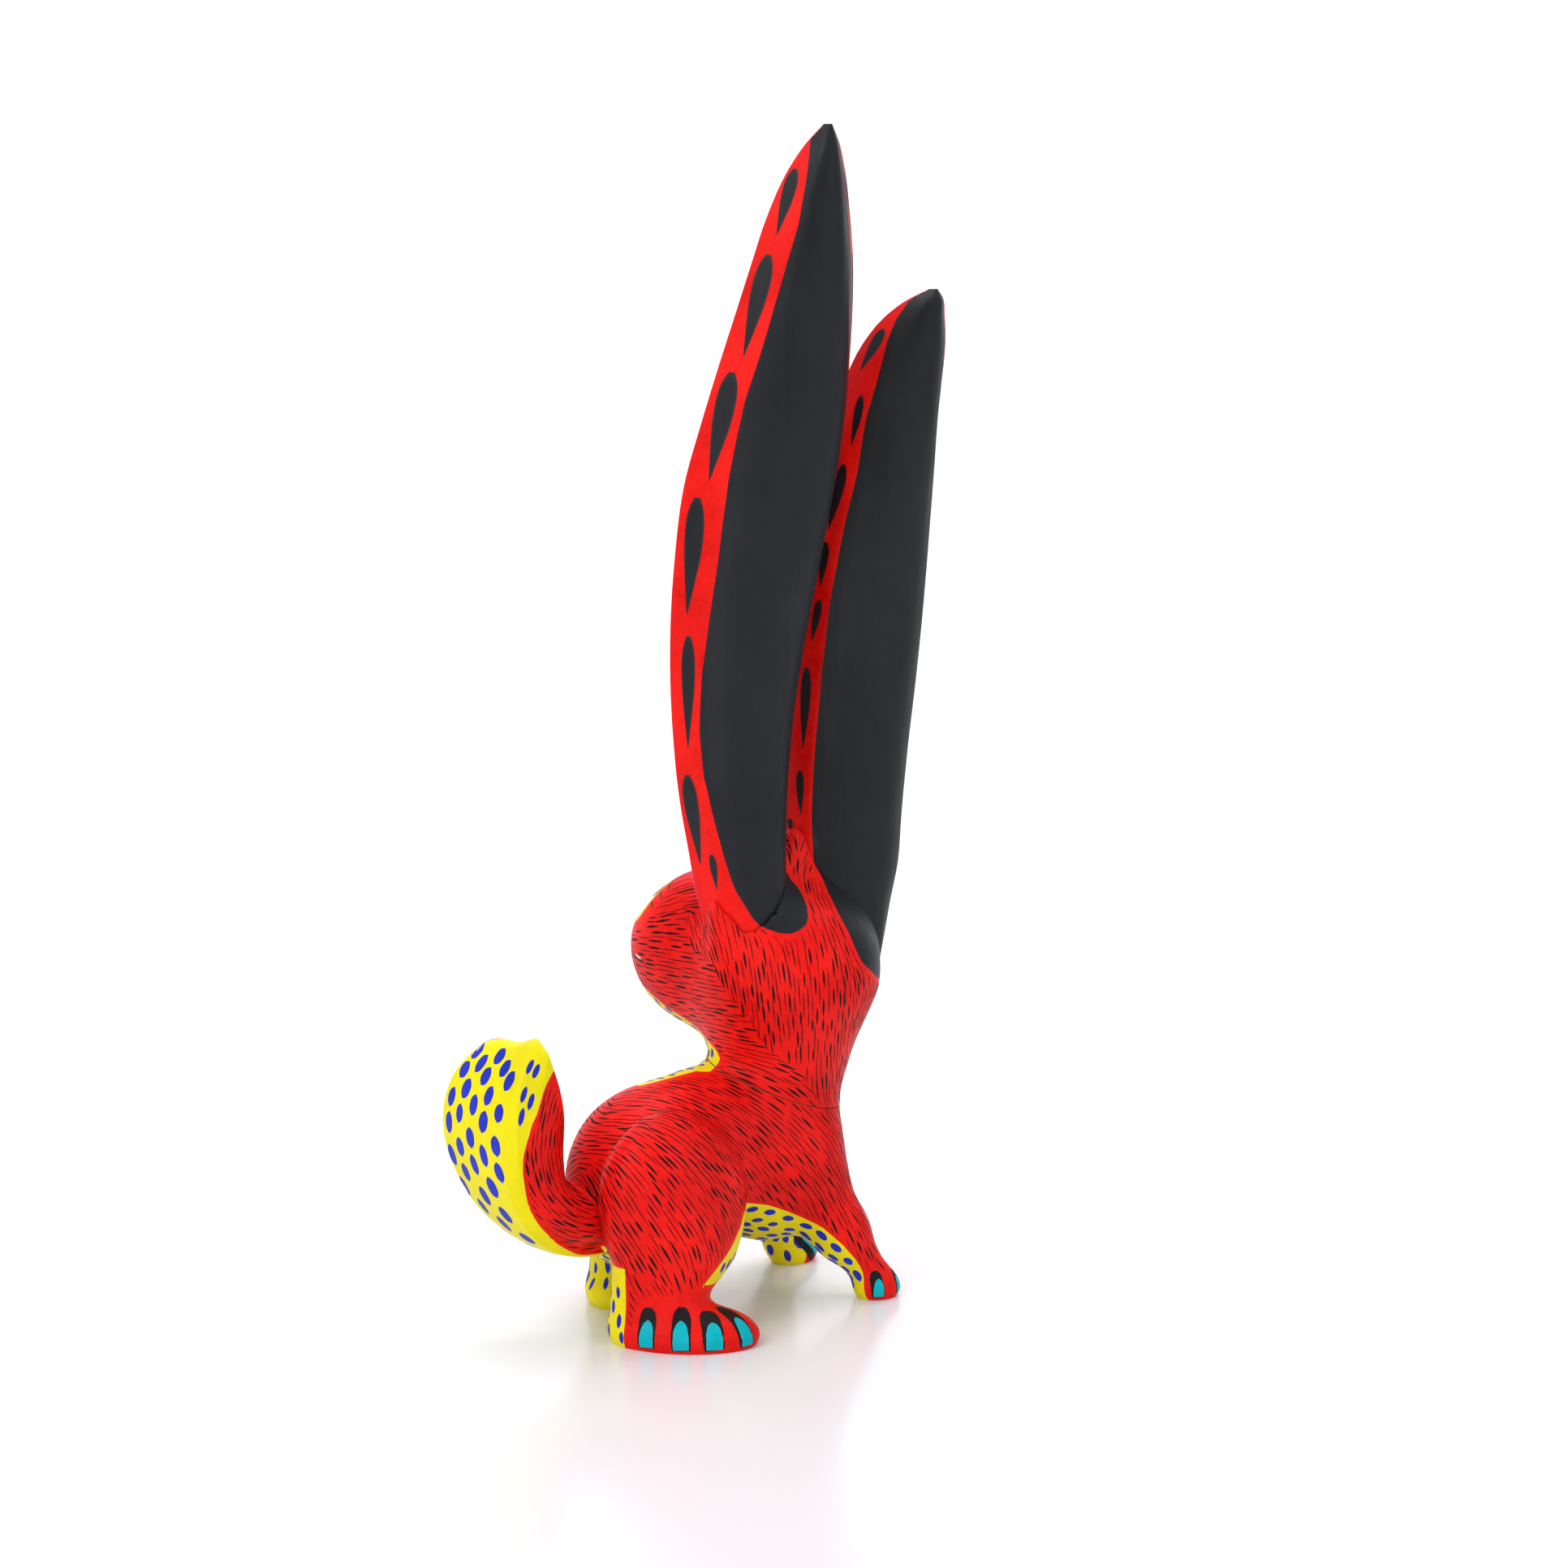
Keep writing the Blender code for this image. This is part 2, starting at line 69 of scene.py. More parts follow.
# ear: seat point and seat normal, peg direction, depth of its centre line,
# and stations (height, place along ACROSS, half width, half thickness, how far
# out the ridge between back and rim sits)
EAR_TURN = math.radians(30.0)
LEFT_EAR = dict(
    seat=(2.6, -8.4, 144.5), tilt=(-0.286, -1.2), lean=-0.20, depth=-8.4,
    stations=((118, 9.6, 9.2, 8.5, 0.74), (132, 5.8, 13.6, 11.4, 0.76), (142, 4.2, 15.4, 12.2, 0.78),
              (158, 3.0, 17.2, 12.8, 0.78), (177, 1.8, 19.4, 13.2, 0.78), (199, 1.9, 21.8, 13.5, 0.77),
              (226, 3.8, 24.8, 13.8, 0.76), (256, 8.0, 27.8, 14.0, 0.74), (284, 12.8, 29.0, 13.6, 0.72),
              (301, 16.3, 27.6, 13.0, 0.70), (320, 19.8, 25.1, 12.2, 0.68), (338, 23.0, 22.3, 11.2, 0.65),
              (354, 25.4, 19.4, 10.0, 0.62), (370, 27.2, 15.6, 8.6, 0.58), (384, 29.2, 10.9, 6.6, 0.54),
              (393, 30.8, 6.2, 4.2, 0.50), (399, 31.8, 1.6, 1.3, 0.50)))
RIGHT_EAR = dict(
    seat=(39.0, 21.0, 131.0), tilt=(1.7, -0.8), lean=0.32, depth=22.4,
    stations=((92, 41.0, 5.0, 6.0, 0.76), (108, 41.0, 8.4, 9.0, 0.78), (121, 40.2, 12.2, 11.4, 0.78),
              (134, 38.0, 18.4, 12.6, 0.78), (148, 37.6, 22.8, 13.2, 0.78), (164, 37.8, 24.0, 13.6, 0.78),
              (187, 39.2, 25.2, 13.8, 0.77), (214, 42.4, 25.2, 13.8, 0.76), (238, 44.9, 25.2, 13.6, 0.75),
              (262, 47.9, 24.2, 13.0, 0.73), (282, 51.1, 22.2, 12.4, 0.71), (301, 53.8, 20.8, 11.4, 0.69),
              (316, 57.0, 19.0, 10.4, 0.66), (327, 60.0, 16.0, 9.0, 0.62), (335, 62.8, 11.8, 7.0, 0.58),
              (341, 66.0, 6.4, 4.2, 0.54), (344, 67.6, 1.6, 1.3, 0.50)))

# tail: stations (x, y, z, half width, half thickness, how wide the flat rear
# face is, how much fuller the side towards the back is) from inside the rump to the tip
TAIL = ((-48, 0, 40.0, 13.0, 11.5, 0.60, 1.0), (-58, 0, 39.5, 14.5, 12.0, 0.62, 1.0), (-68, 0, 40.5, 16.5, 12.0, 0.66, 1.0),
        (-78, 1, 44.5, 18.5, 11.6, 0.74, 1.04), (-85.2, 3, 52.0, 20.5, 11.2, 0.84, 1.16), (-88.6, 5, 62.0, 22.4, 11.8, 0.92, 1.32),
        (-90.0, 5.5, 72.5, 23.4, 12.2, 0.96, 1.42), (-89.6, 4, 82.0, 23.6, 12.0, 0.97, 1.40), (-88.2, 1, 90.5, 22.8, 10.8, 0.97, 1.40),
        (-86.8, -2.5, 97.3, 19.4, 8.6, 0.97, 1.80), (-85.6, -5, 102.2, 13.6, 6.0, 0.97, 2.3), (-85.2, -6, 104.6, 5.4, 2.4, 0.97, 3.2))


# ------------------------------------------------------------ rounded volumes
def unit(v):
    v = np.asarray(v, float)
    return v / np.linalg.norm(v)


def turned(angle):
    a = math.radians(angle)
    return np.array([[math.cos(a), math.sin(a), 0], [-math.sin(a), math.cos(a), 0], [0, 0, 1.0]])


def pitched(axes, angle):
    a = math.radians(angle)
    x, z = axes[0], axes[2]
    return np.array([math.cos(a) * x + math.sin(a) * z, axes[1], -math.sin(a) * x + math.cos(a) * z])


HEAD_AXES = np.array([FACE, CHEEK, UP])
EAR_AXES = np.array([math.cos(EAR_TURN) * ACROSS + math.sin(EAR_TURN) * DEPTH,
                     math.sin(EAR_TURN) * ACROSS - math.cos(EAR_TURN) * DEPTH, UP])


def in_plan(across, depth, z):
    return across * ACROSS + depth * DEPTH + z * UP


def ball(centre, radii, axes=None):
    return ("ball", np.array(centre, float), np.array(radii, float), np.eye(3) if axes is None else axes)


def limb(a, ra, b, rb):
    return ("limb", np.array(a, float), float(ra), np.array(b, float), float(rb))


def distance(solid, p):
    if solid[0] == "ball":
        _, c, r, axes = solid
        q = (p - c) @ axes.T
        k0 = np.linalg.norm(q / r, axis=1)
        k1 = np.linalg.norm(q / (r * r), axis=1)
        return k0 * (k0 - 1.0) / np.maximum(k1, 1e-9)
    _, a, ra, b, rb = solid
    ab = b - a
    t = np.clip((p - a) @ ab / (ab @ ab), 0.0, 1.0)
    return np.linalg.norm(p - a - t[:, None] * ab, axis=1) - (ra + (rb - ra) * t)


def blend(a, b, k):
    h = np.maximum(k - np.abs(a - b), 0.0) / k
    return np.minimum(a, b) - h * h * k * 0.25


TORSO = (ball((-39, 0, 47), (25, 26, 30)), ball((-9, 0, 56), (39, 25.5, 27.2)), ball((13.4, 0, 50), (24.3, 24.5, 31)))
TAIL_ROOT = ball((-57, 0, 39), (13, 13.5, 11))
NECK = (limb((17, 0, 60), 19.0, (18.7, -7.0, 112), 27.8),)
SKULL = (ball(HEAD - 14 * FACE + 117 * UP, (29, 28, 24), HEAD_AXES), ball(HEAD + 14 * FACE + 117.5 * UP, (34.5, 24, 28.5), HEAD_AXES))
BROW = (unit((0.72, 0.0, 0.70)), 123.0)     # the flat slope from the crown down to the nose
# bosses on the crown that carry the tilted ear seats
STUBS = (ball(in_plan(4.4, -9.4, 141), (14.2, 10.8, 29), EAR_AXES),
         ball(in_plan(37.6, 21.8, 138), (13.0, 10.8, 30), pitched(EAR_AXES, 14)),
         ball(in_plan(20.5, 7.5, 136), (8.0, 6.0, 27), EAR_AXES))
# the right hind leg is set back and splays out; the left one stands a little further forward
HIND_RIGHT = (ball((-40.5, -21, 45), (27.5, 16.5, 32), pitched(np.eye(3), 14)), limb((-41.5, -24, 30), 15.2, (-46.8, -27.0, 14), 8.5),
              ball((-42.0, -30.8, 3.2), (24.4, 14.8, 9.8), turned(-42)))
HEEL_RIGHT = limb((-55.5, -19.5, 19.0), 7.2, (-55.2, -19.0, 6.0), 8.0)
HIND_LEFT = (ball((-27, 20, 43), (26.5, 15.5, 30), pitched(np.eye(3), 10)), limb((-27, 22, 30), 14.5, (-30, 23, 14), 10.0),
             ball((-24, 25, 4.0), (23.5, 14.0, 10.0), turned(24)))
FORE_RIGHT = (limb((17, -13, 50), 15.0, (29.5, -21, 24), 9.2), limb((29.5, -21, 24), 9.0, (38.6, -26.2, 9), 6.0),
              ball((41.2, -27.2, 3.4), (8.2, 6.8, 6.4), turned(-8)))


def mirrored(solid):
    flip = np.array([1.0, -1.0, 1.0])
    if solid[0] == "ball":
        _, c, r, axes = solid
        return ("ball", c * flip, r, axes * flip)
    _, a, ra, b, rb = solid
    return ("limb", a * flip, ra, b * flip, rb)


FORE_LEFT = tuple(mirrored(solid) for solid in FORE_RIGHT[:2]) + (ball((44.3, 24.6, 3.6), (9.6, 6.9, 7.0), turned(4)),)


def block_field(p):
    d = distance(TORSO[0], p)
    d = blend(d, distance(TORSO[1], p), 14)
    d = blend(d, distance(TORSO[2], p), 14)
    d = blend(d, distance(TAIL_ROOT, p), 6)
    d = blend(d, distance(NECK[0], p), 9)
    slope = ((p - HEAD) @ HEAD_AXES.T) @ BROW[0] - BROW[1]
    face = -blend(-distance(SKULL[1], p), -slope, 7)
    head = blend(distance(SKULL[0], p), face, 12)
    for stub in STUBS:
        head = blend(head, distance(stub, p), 10)
    d = blend(d, head, 14)
    for haunch, shank, foot in (HIND_RIGHT, HIND_LEFT):
        hind = blend(distance(haunch, p), distance(shank, p), 12)
        hind = blend(hind, distance(foot, p), 7)
        if foot is HIND_RIGHT[2]:
            hind = blend(hind, distance(HEEL_RIGHT, p), 6)
        d = blend(d, hind, 3.5)
    for solids in (FORE_RIGHT, FORE_LEFT):
        fore = blend(distance(solids[0], p), distance(solids[1], p), 6)
        d = blend(d, blend(fore, distance(solids[2], p), 5), 9)
    return d


def settle(points, field, rounds=5):
    e = 0.05
    for _ in range(rounds):
        d = field(points)
        g = np.stack([field(points + e * np.eye(3)[i]) - field(points - e * np.eye(3)[i]) for i in range(3)], axis=1) / (2 * e)
        points = points - np.clip(d / np.maximum((g * g).sum(1), 0.05), -3, 3)[:, None] * g
    return points


# ------------------------------------------------------------ mesh helpers
def make(name, verts, faces):
    mesh = bpy.data.meshes.new(name)
    mesh.from_pydata([Vector(v) * MM for v in verts], [], faces)
    mesh.validate()
    obj = bpy.data.objects.new(name, mesh)
    bpy.context.scene.collection.objects.link(obj)
    bm = bmesh.new()
    bm.from_mesh(mesh)
    bmesh.ops.recalc_face_normals(bm, faces=bm.faces)
    bm.to_mesh(mesh)
    bm.free()
    return obj


def loft(name, rings):
    n = len(rings[0])
    verts = [tuple(p) for ring in rings for p in ring]
    faces = []
    for i in range(len(rings) - 1):
        for j in range(n):
            k = (j + 1) % n
            faces.append((i * n + j, i * n + k, (i + 1) * n + k, (i + 1) * n + j))
    faces.append(tuple(range(n))[::-1])
    faces.append(tuple((len(rings) - 1) * n + j for j in range(n)))
    return make(name, verts, faces)


def applied(obj):
    bpy.context.view_layer.update()
    graph = bpy.context.evaluated_depsgraph_get()
    mesh = bpy.data.meshes.new_from_object(obj.evaluated_get(graph))
    old = obj.data
    obj.modifiers.clear()
    obj.data = mesh
    mesh.name = obj.name
    bpy.data.meshes.remove(old)
    return obj


def cut(obj, tool, operation="DIFFERENCE"):
    mod = obj.modifiers.new("cut", "BOOLEAN")
    mod.operation = operation
    mod.solver = "EXACT"
    mod.object = tool
    applied(obj)
    return obj


def drop(obj):
    bpy.data.objects.remove(obj, do_unlink=True)


def half_space(name, point, normal, size=400.0, side=1.0):
    """A box with one face on the plane, filling the side the normal points to."""
    n = unit(normal) * side
    a = unit(np.cross(n, UP if abs(n[2]) < 0.9 else ACROSS))
    b = np.cross(n, a)
    corners = [np.array(point) + s * size * a + t * size * b + h * size * n
               for h in (0, 1) for s, t in ((-1, -1), (1, -1), (1, 1), (-1, 1))]
    return make(name, corners, [(0, 1, 2, 3), (4, 7, 6, 5), (0, 4, 5, 1), (1, 5, 6, 2), (2, 6, 7, 3), (3, 7, 4, 0)])


def cylinder(name, a, b, radius, sides=20, chamfer=0.0):
    a, b = np.array(a, float), np.array(b, float)
    n = unit(b - a)
    u = unit(np.cross(n, UP if abs(n[2]) < 0.9 else ACROSS))
    v = np.cross(n, u)
    length = np.linalg.norm(b - a)
    profile = [(0.0, radius), (length, radius)]
    if chamfer:
        profile = [(0.0, radius - chamfer), (chamfer, radius), (length - chamfer, radius), (length, radius - chamfer)]
    rings = [[a + n * h + r * (math.cos(t) * u + math.sin(t) * v)
              for t in (2 * math.pi * i / sides for i in range(sides))] for h, r in profile]
    return loft(name, rings)


def seed_of(solid, grow):
    """A plain closed shape standing in for one rounded volume before the blocks are merged."""
    bm = bmesh.new()
    if solid[0] == "ball":
        _, c, r, axes = solid
        bmesh.ops.create_icosphere(bm, subdivisions=3, radius=1.0)
        for v in bm.verts:
            v.co = Vector(((np.array(v.co) * (r + grow)) @ axes + c) * MM)
    else:
        _, a, ra, b, rb = solid
        for c, r in ((a, ra), (b, rb)):
            made = bmesh.ops.create_icosphere(bm, subdivisions=2, radius=1.0)["verts"]
            for v in made:
                v.co = Vector((np.array(v.co) * (r + grow) + c) * MM)
        hull = bmesh.ops.convex_hull(bm, input=bm.verts)
        bmesh.ops.delete(bm, geom=[g for g in hull["geom_interior"] if isinstance(g, bmesh.types.BMVert)], context="VERTS")
    return bm


def carved_block(name, solids, field, grain):
    merged = bpy.data.meshes.new(name)
    whole = bmesh.new()
    for solid in solids:
        piece = seed_of(solid, 0.6)
        part = bpy.data.meshes.new("seed")
        piece.to_mesh(part)
        piece.free()
        whole.from_mesh(part)
        bpy.data.meshes.remove(part)
    bmesh.ops.recalc_face_normals(whole, faces=whole.faces)
    whole.to_mesh(merged)
    whole.free()
    obj = bpy.data.objects.new(name, merged)
    bpy.context.scene.collection.objects.link(obj)
    mod = obj.modifiers.new("merge", "REMESH")
    mod.mode = "VOXEL"
    mod.voxel_size = grain * MM
    applied(obj)
    mesh = obj.data
    co = np.empty(len(mesh.vertices) * 3)
    for _ in range(3):
        mesh.vertices.foreach_get("co", co)
        p = settle(co.reshape(-1, 3) / MM, field)
        mesh.vertices.foreach_set("co", (p * MM).ravel())
        mesh.update()
        smooth = obj.modifiers.new("relax", "SMOOTH")
        smooth.factor = 0.5
        smooth.iterations = 3
        applied(obj)
        mesh = obj.data
        co = np.empty(len(mesh.vertices) * 3)
    mesh.vertices.foreach_get("co", co)
    p = settle(co.reshape(-1, 3) / MM, field, 6)
    mesh.vertices.foreach_set("co", (p * MM).ravel())
    mesh.update()
    return obj


# ------------------------------------------------------------ ears and tail
def ear_rings(ear, margin=0.0):
    rings = []
    for z, across, half, thick, ridge in ear["stations"]:
        a, t = half + margin, thick + margin
        outline = ((-1.0, -0.42), (-0.93, -0.62), (-0.5, -0.74), (0.0, -0.78), (0.5, -0.74), (0.93, -0.62), (1.0, -0.42),
                   (ridge, 0.52), (ridge * 0.72, 0.80), (ridge * 0.38, 0.95), (0.0, 1.0), (-ridge * 0.38, 0.95), (-ridge * 0.72, 0.80), (-ridge, 0.52))
        middle = in_plan(across, ear["depth"], z)
        rings.append([middle + s * a * EAR_AXES[0] + h * t * EAR_AXES[1] for s, h in outline])
    if margin:
        rings[0] = [p - margin * UP for p in rings[0]]
        rings[-1] = [p + margin * UP for p in rings[-1]]
    return rings


def tail_rings(margin=0.0):
    rings = []
    path = np.array([(x, y, z) for x, y, z, *_ in TAIL])
    for i, (x, y, z, half, thick, face, full) in enumerate(TAIL):
        ahead = unit(path[min(i + 1, len(path) - 1)] - path[max(i - 1, 0)])
        side = np.array([0.0, 1.0, 0.0])
        back = unit(np.cross(side, ahead))          # towards the rabbit's back
        a, t = half + margin, thick + margin
        outline = ((-face, -0.66), (-face * 0.80, -0.98), (-face * 0.3, -1.06), (face * 0.3, -1.06), (face * 0.80, -0.98), (face, -0.66),
                   (1.0, -0.2), (0.93, 0.40), (0.68, 0.78), (0.24, 0.98), (-0.24, 0.98), (-0.68, 0.78), (-0.93, 0.40), (-1.0, -0.2))
        rings.append([path[i] + s * a * side + h * t * (full if h > 0 else 1.0) * back for s, h in outline])
    return rings


def seat_of(ear):
    across, depth, z = ear["seat"]
    point = in_plan(across, depth, z)
    a, b = ear["tilt"]
    normal = unit(a * ACROSS + b * DEPTH + UP)
    lift = unit(ear["lean"] * ACROSS + UP)
    return point, normal, lift


# ------------------------------------------------------------ mesh arrays
SHIFT = np.array([*ORIGIN_SHIFT, 0.0])


def as_arrays(obj):
    mesh = obj.data
    mesh.calc_loop_triangles()
    co = np.empty(len(mesh.vertices) * 3)
    mesh.vertices.foreach_get("co", co)
    tri = np.empty(len(mesh.loop_triangles) * 3, np.int64)
    mesh.loop_triangles.foreach_get("vertices", tri)
    return co.reshape(-1, 3) / MM, tri.reshape(-1, 3)


def divided(co, tri, value):
    """Cuts each triangle that the line value(point) = 0 crosses, so the paint edge there is an edge of the mesh."""
    v = value(co)
    v = np.where(np.abs(v) < 0.02, 0.02, v)
    side = (v > 0)[tri]
    mixed = side.any(1) & ~side.all(1)
    m, s = tri[mixed], side[mixed]
    if not len(m):
        return co, tri
    lone = np.where(s.sum(1) == 1, s.argmax(1), (~s).argmax(1))
    rows = np.arange(len(m))
    a, b, c = m[rows, lone], m[rows, (lone + 1) % 3], m[rows, (lone + 2) % 3]
    ends = np.sort(np.concatenate([np.stack([a, b], 1), np.stack([a, c], 1)]), axis=1)
    edges, index = np.unique(ends, axis=0, return_inverse=True)
    index = index.reshape(-1) + len(co)
    t = v[edges[:, 0]] / (v[edges[:, 0]] - v[edges[:, 1]])
    co = np.concatenate([co, co[edges[:, 0]] * (1 - t)[:, None] + co[edges[:, 1]] * t[:, None]])
    p, q = index[:len(m)], index[len(m):]
    parts = [tri[~mixed], np.stack([a, p, q], 1), np.stack([p, b, c], 1), np.stack([p, c, q], 1)]
    return co, np.concatenate(parts)


def middles(co, tri):
    return co[tri].mean(1)


def facing(co, tri):
    n = np.cross(co[tri[:, 1]] - co[tri[:, 0]], co[tri[:, 2]] - co[tri[:, 0]])
    return n / np.maximum(np.linalg.norm(n, axis=1), 1e-12)[:, None]


def piece(name, co, tri, label, materials, body, slot, sharp=34):
    mesh = bpy.data.meshes.new(name)
    mesh.from_pydata(((co + SHIFT) * MM).tolist(), [], tri.tolist())
    mesh.polygons.foreach_set("material_index", np.asarray(label, np.int32))
    for material in materials:
        mesh.materials.append(material)
    mesh.validate()
    mesh.update()
    mesh.shade_smooth()
    if sharp:
        mesh.set_sharp_from_angle(angle=math.radians(sharp))
    obj = bpy.data.objects.new(name, mesh)
    bpy.context.scene.collection.objects.link(obj)
    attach(obj, body)
    return obj


def tree_of(co, tri):
    return BVHTree.FromPolygons(co.tolist(), tri.tolist())


def sd_polygon(q, polygon):
    """Signed distance in the plane to a closed outline, negative inside."""
    poly = np.asarray(polygon, float)
    best = np.full(len(q), 1e9)
    inside = np.zeros(len(q), bool)
    for i in range(len(poly)):
        a, b = poly[i], poly[(i + 1) % len(poly)]
        e, w = b - a, q - a
        t = np.clip((w @ e) / (e @ e), 0, 1)
        best = np.minimum(best, np.linalg.norm(w - t[:, None] * e, axis=1))
        crosses = (a[1] > q[:, 1]) != (b[1] > q[:, 1])
        if abs(e[1]) > 1e-12:
            inside ^= crosses & (q[:, 0] < a[0] + e[0] * (q[:, 1] - a[1]) / e[1])
    return np.where(inside, -best, best)


# ------------------------------------------------------------ where each colour lies
# hind legs are shifted along X on the left side, so zones are read at the shifted place
LEG_SHIFT = 17.0
UNDERSIDE = ((-9.5, 20.5), (-4.8, 25.9), (0.2, 32.1), (2.8, 36.6), (3.9, 40.6), (6.5, 39.8), (11.9, 38.2), (18.5, 34.7), (25.0, 30.8),
             (30.5, 27.6), (37.1, 21.7), (41.6, 15.6), (45.0, 9.4), (46.4, 4.3), (47.0, -6.0), (14.0, -6.0), (11.0, 10.0), (6.5, 15.0))


def zone_place(p):
    """(place seen across, across-body distance, height, x on the right-hand pattern)"""
    x = p[:, 0] - np.where(p[:, 1] > 0, LEG_SHIFT * np.clip((4.0 - p[:, 0]) / 14.0, 0, 1), 0.0)
    side = np.abs(p[:, 1])
    return 0.8 * x + 0.6 * side, side, p[:, 2], x


def underside(p):
    """Positive on the yellow of the belly and of the insides of the legs."""
    across, side, z, x = zone_place(p)
    band = -sd_polygon(np.stack([across, z], 1), UNDERSIDE)
    inner = np.minimum(20.6 - 0.534 * (x + 55.5) - side + np.where(p[:, 1] > 0, 5.0, 0.0), 27.0 - z)
    inner = np.minimum(inner, -6.0 - x + 0.2 * z)
    rump = np.minimum(np.minimum(13.5 - side, 31.5 - z), -44.0 - x)
    return np.minimum(np.maximum(np.maximum(band, inner), rump), np.maximum(z - 13.0, 30.0 - side))


def head_place(p):
    q = (p - HEAD) @ HEAD_AXES.T
    return q[:, 0], q[:, 1], q[:, 2]


def bib(p):
    """Positive on the yellow under the jaw and down the throat."""
    f, l, z = head_place(p)
    jaw = np.interp(f, (-4.0, -0.5, 7.6, 16.0, 25.2, 34.0, 44.0, 52.0), (86.0, 88.6, 90.6, 94.6, 99.3, 103.4, 106.0, 107.0))
    foot = 82.7 - 0.30 * np.clip(f, 0, 40) + 0.022 * np.clip(f - 9.0, 0, 40) ** 2
    return np.minimum(np.minimum(jaw - z, f + 4.0), z - foot)


def above_neck(p):
    """Positive on the near side of the line where cheek strokes meet nape strokes."""
    f, l, z = head_place(p)
    line = np.interp(z, (66, 80, 83.6, 93.3, 100.4, 110.3, 113.6, 121.5, 123.5, 131.6, 150), (-33, -31, -30.6, -22.5, -20.5, -15.6, -11.9, -8.3, 6.0, 13.2, 22))
    return f - line


LOBE = ((0.0, 141.0), (3.5, 138.6), (7.4, 136.2), (11.0, 134.0), (15.6, 132.4), (19.5, 132.1), (22.3, 133.0), (24.6, 134.6), (25.3, 136.6),
        (24.9, 139.5), (23.7, 142.1), (21.8, 145.0), (19.7, 147.1), (17.5, 150.5), (12.0, 160.0), (0.0, 156.0))


def near_lobe(p):
    """Positive where the left ear's black runs down onto the head."""
    u, d = p @ ACROSS, p @ DEPTH
    return np.minimum(-sd_polygon(np.stack([u, p[:, 2]], 1), LOBE), -1.5 - d)


def far_lobe(p):
    """Positive where the right ear's black runs down onto the head."""
    u, d = p @ ACROSS, p @ DEPTH
    edge = np.interp(p[:, 2], (108, 116, 121.2, 131.1, 142.2, 152.7, 165), (52, 47.3, 43.1, 38.7, 32.0, 27.1, 26.5))
    return np.minimum(np.minimum(u - edge, p[:, 2] - 111.0), 24.0 - d)


# ------------------------------------------------------------ paint recipes
def painted(name, colour, roughness, vary=0.12, wear=None, streak=(1, 1, 1), bump=0.12, bump_scale=420.0, coat=0.0, grain=38.0, tint=None, shine=0.10):
    """Hand-brushed paint: slow colour drift, fine brush streaks in colour, gloss and relief, and rubbed edges."""
    m = bpy.data.materials.new(name)
    m.use_nodes = True
    t = m.node_tree
    new, link = t.nodes.new, t.links.new
    shader = t.nodes["Principled BSDF"]
    place = new("ShaderNodeTexCoord")
    stretch = new("ShaderNodeMapping")
    stretch.inputs["Scale"].default_value = streak
    link(place.outputs["Object"], stretch.inputs["Vector"])
    drift = new("ShaderNodeTexNoise")
    drift.inputs["Scale"].default_value = grain
    drift.inputs["Detail"].default_value = 4.0
    link(place.outputs["Object"], drift.inputs["Vector"])
    brush = new("ShaderNodeTexNoise")
    brush.inputs["Scale"].default_value = bump_scale
    brush.inputs["Detail"].default_value = 3.0
    link(stretch.outputs["Vector"], brush.inputs["Vector"])
    blend_ = new("ShaderNodeMath")
    blend_.operation = "MULTIPLY_ADD"
    blend_.inputs[1].default_value = 0.35
    link(brush.outputs["Fac"], blend_.inputs[0])
    link(drift.outputs["Fac"], blend_.inputs[2])
    ramp = new("ShaderNodeValToRGB")
    dark = [c * (1 - vary) for c in colour]
    light = [min(1.0, c * (1 + vary * 0.7) + 0.004) for c in (tint or colour)]
    ramp.color_ramp.elements[0].position, ramp.color_ramp.elements[1].position = 0.45, 0.88
    ramp.color_ramp.elements[0].color = (*dark, 1)
    ramp.color_ramp.elements[1].color = (*light, 1)
    link(blend_.outputs[0], ramp.inputs["Fac"])
    out = ramp.outputs["Color"]
    if wear:
        shape = new("ShaderNodeNewGeometry")
        edge = new("ShaderNodeMapRange")
        edge.inputs["From Min"].default_value, edge.inputs["From Max"].default_value = 0.53, 0.60
        edge.inputs["To Max"].default_value = 0.55
        link(shape.outputs["Pointiness"], edge.inputs["Value"])
        patchy = new("ShaderNodeMath")
        patchy.operation = "MULTIPLY"
        link(edge.outputs["Result"], patchy.inputs[0])
        link(drift.outputs["Fac"], patchy.inputs[1])
        mix = new("ShaderNodeMix")
        mix.data_type = "RGBA"
        mix.inputs["B"].default_value = (*wear, 1)
        link(patchy.outputs[0], mix.inputs["Factor"])
        link(out, mix.inputs["A"])
        out = mix.outputs["Result"]
    link(out, shader.inputs["Base Color"])
    gloss = new("ShaderNodeMapRange")
    gloss.inputs["From Min"].default_value, gloss.inputs["From Max"].default_value = 0.3, 0.7
    gloss.inputs["To Min"].default_value, gloss.inputs["To Max"].default_value = roughness - 0.06, roughness + 0.08
    link(brush.outputs["Fac"], gloss.inputs["Value"])
    link(gloss.outputs["Result"], shader.inputs["Roughness"])
    relief = new("ShaderNodeBump")
    relief.inputs["Strength"].default_value = bump
    relief.inputs["Distance"].default_value = 0.0004
    link(brush.outputs["Fac"], relief.inputs["Height"])
    link(relief.outputs["Normal"], shader.inputs["Normal"])
    shader.inputs["Specular IOR Level"].default_value = shine
    shader.inputs["Coat Weight"].default_value = coat
    shader.inputs["Coat Roughness"].default_value = 0.35
    m.diffuse_color = (*colour, 1)
    return m


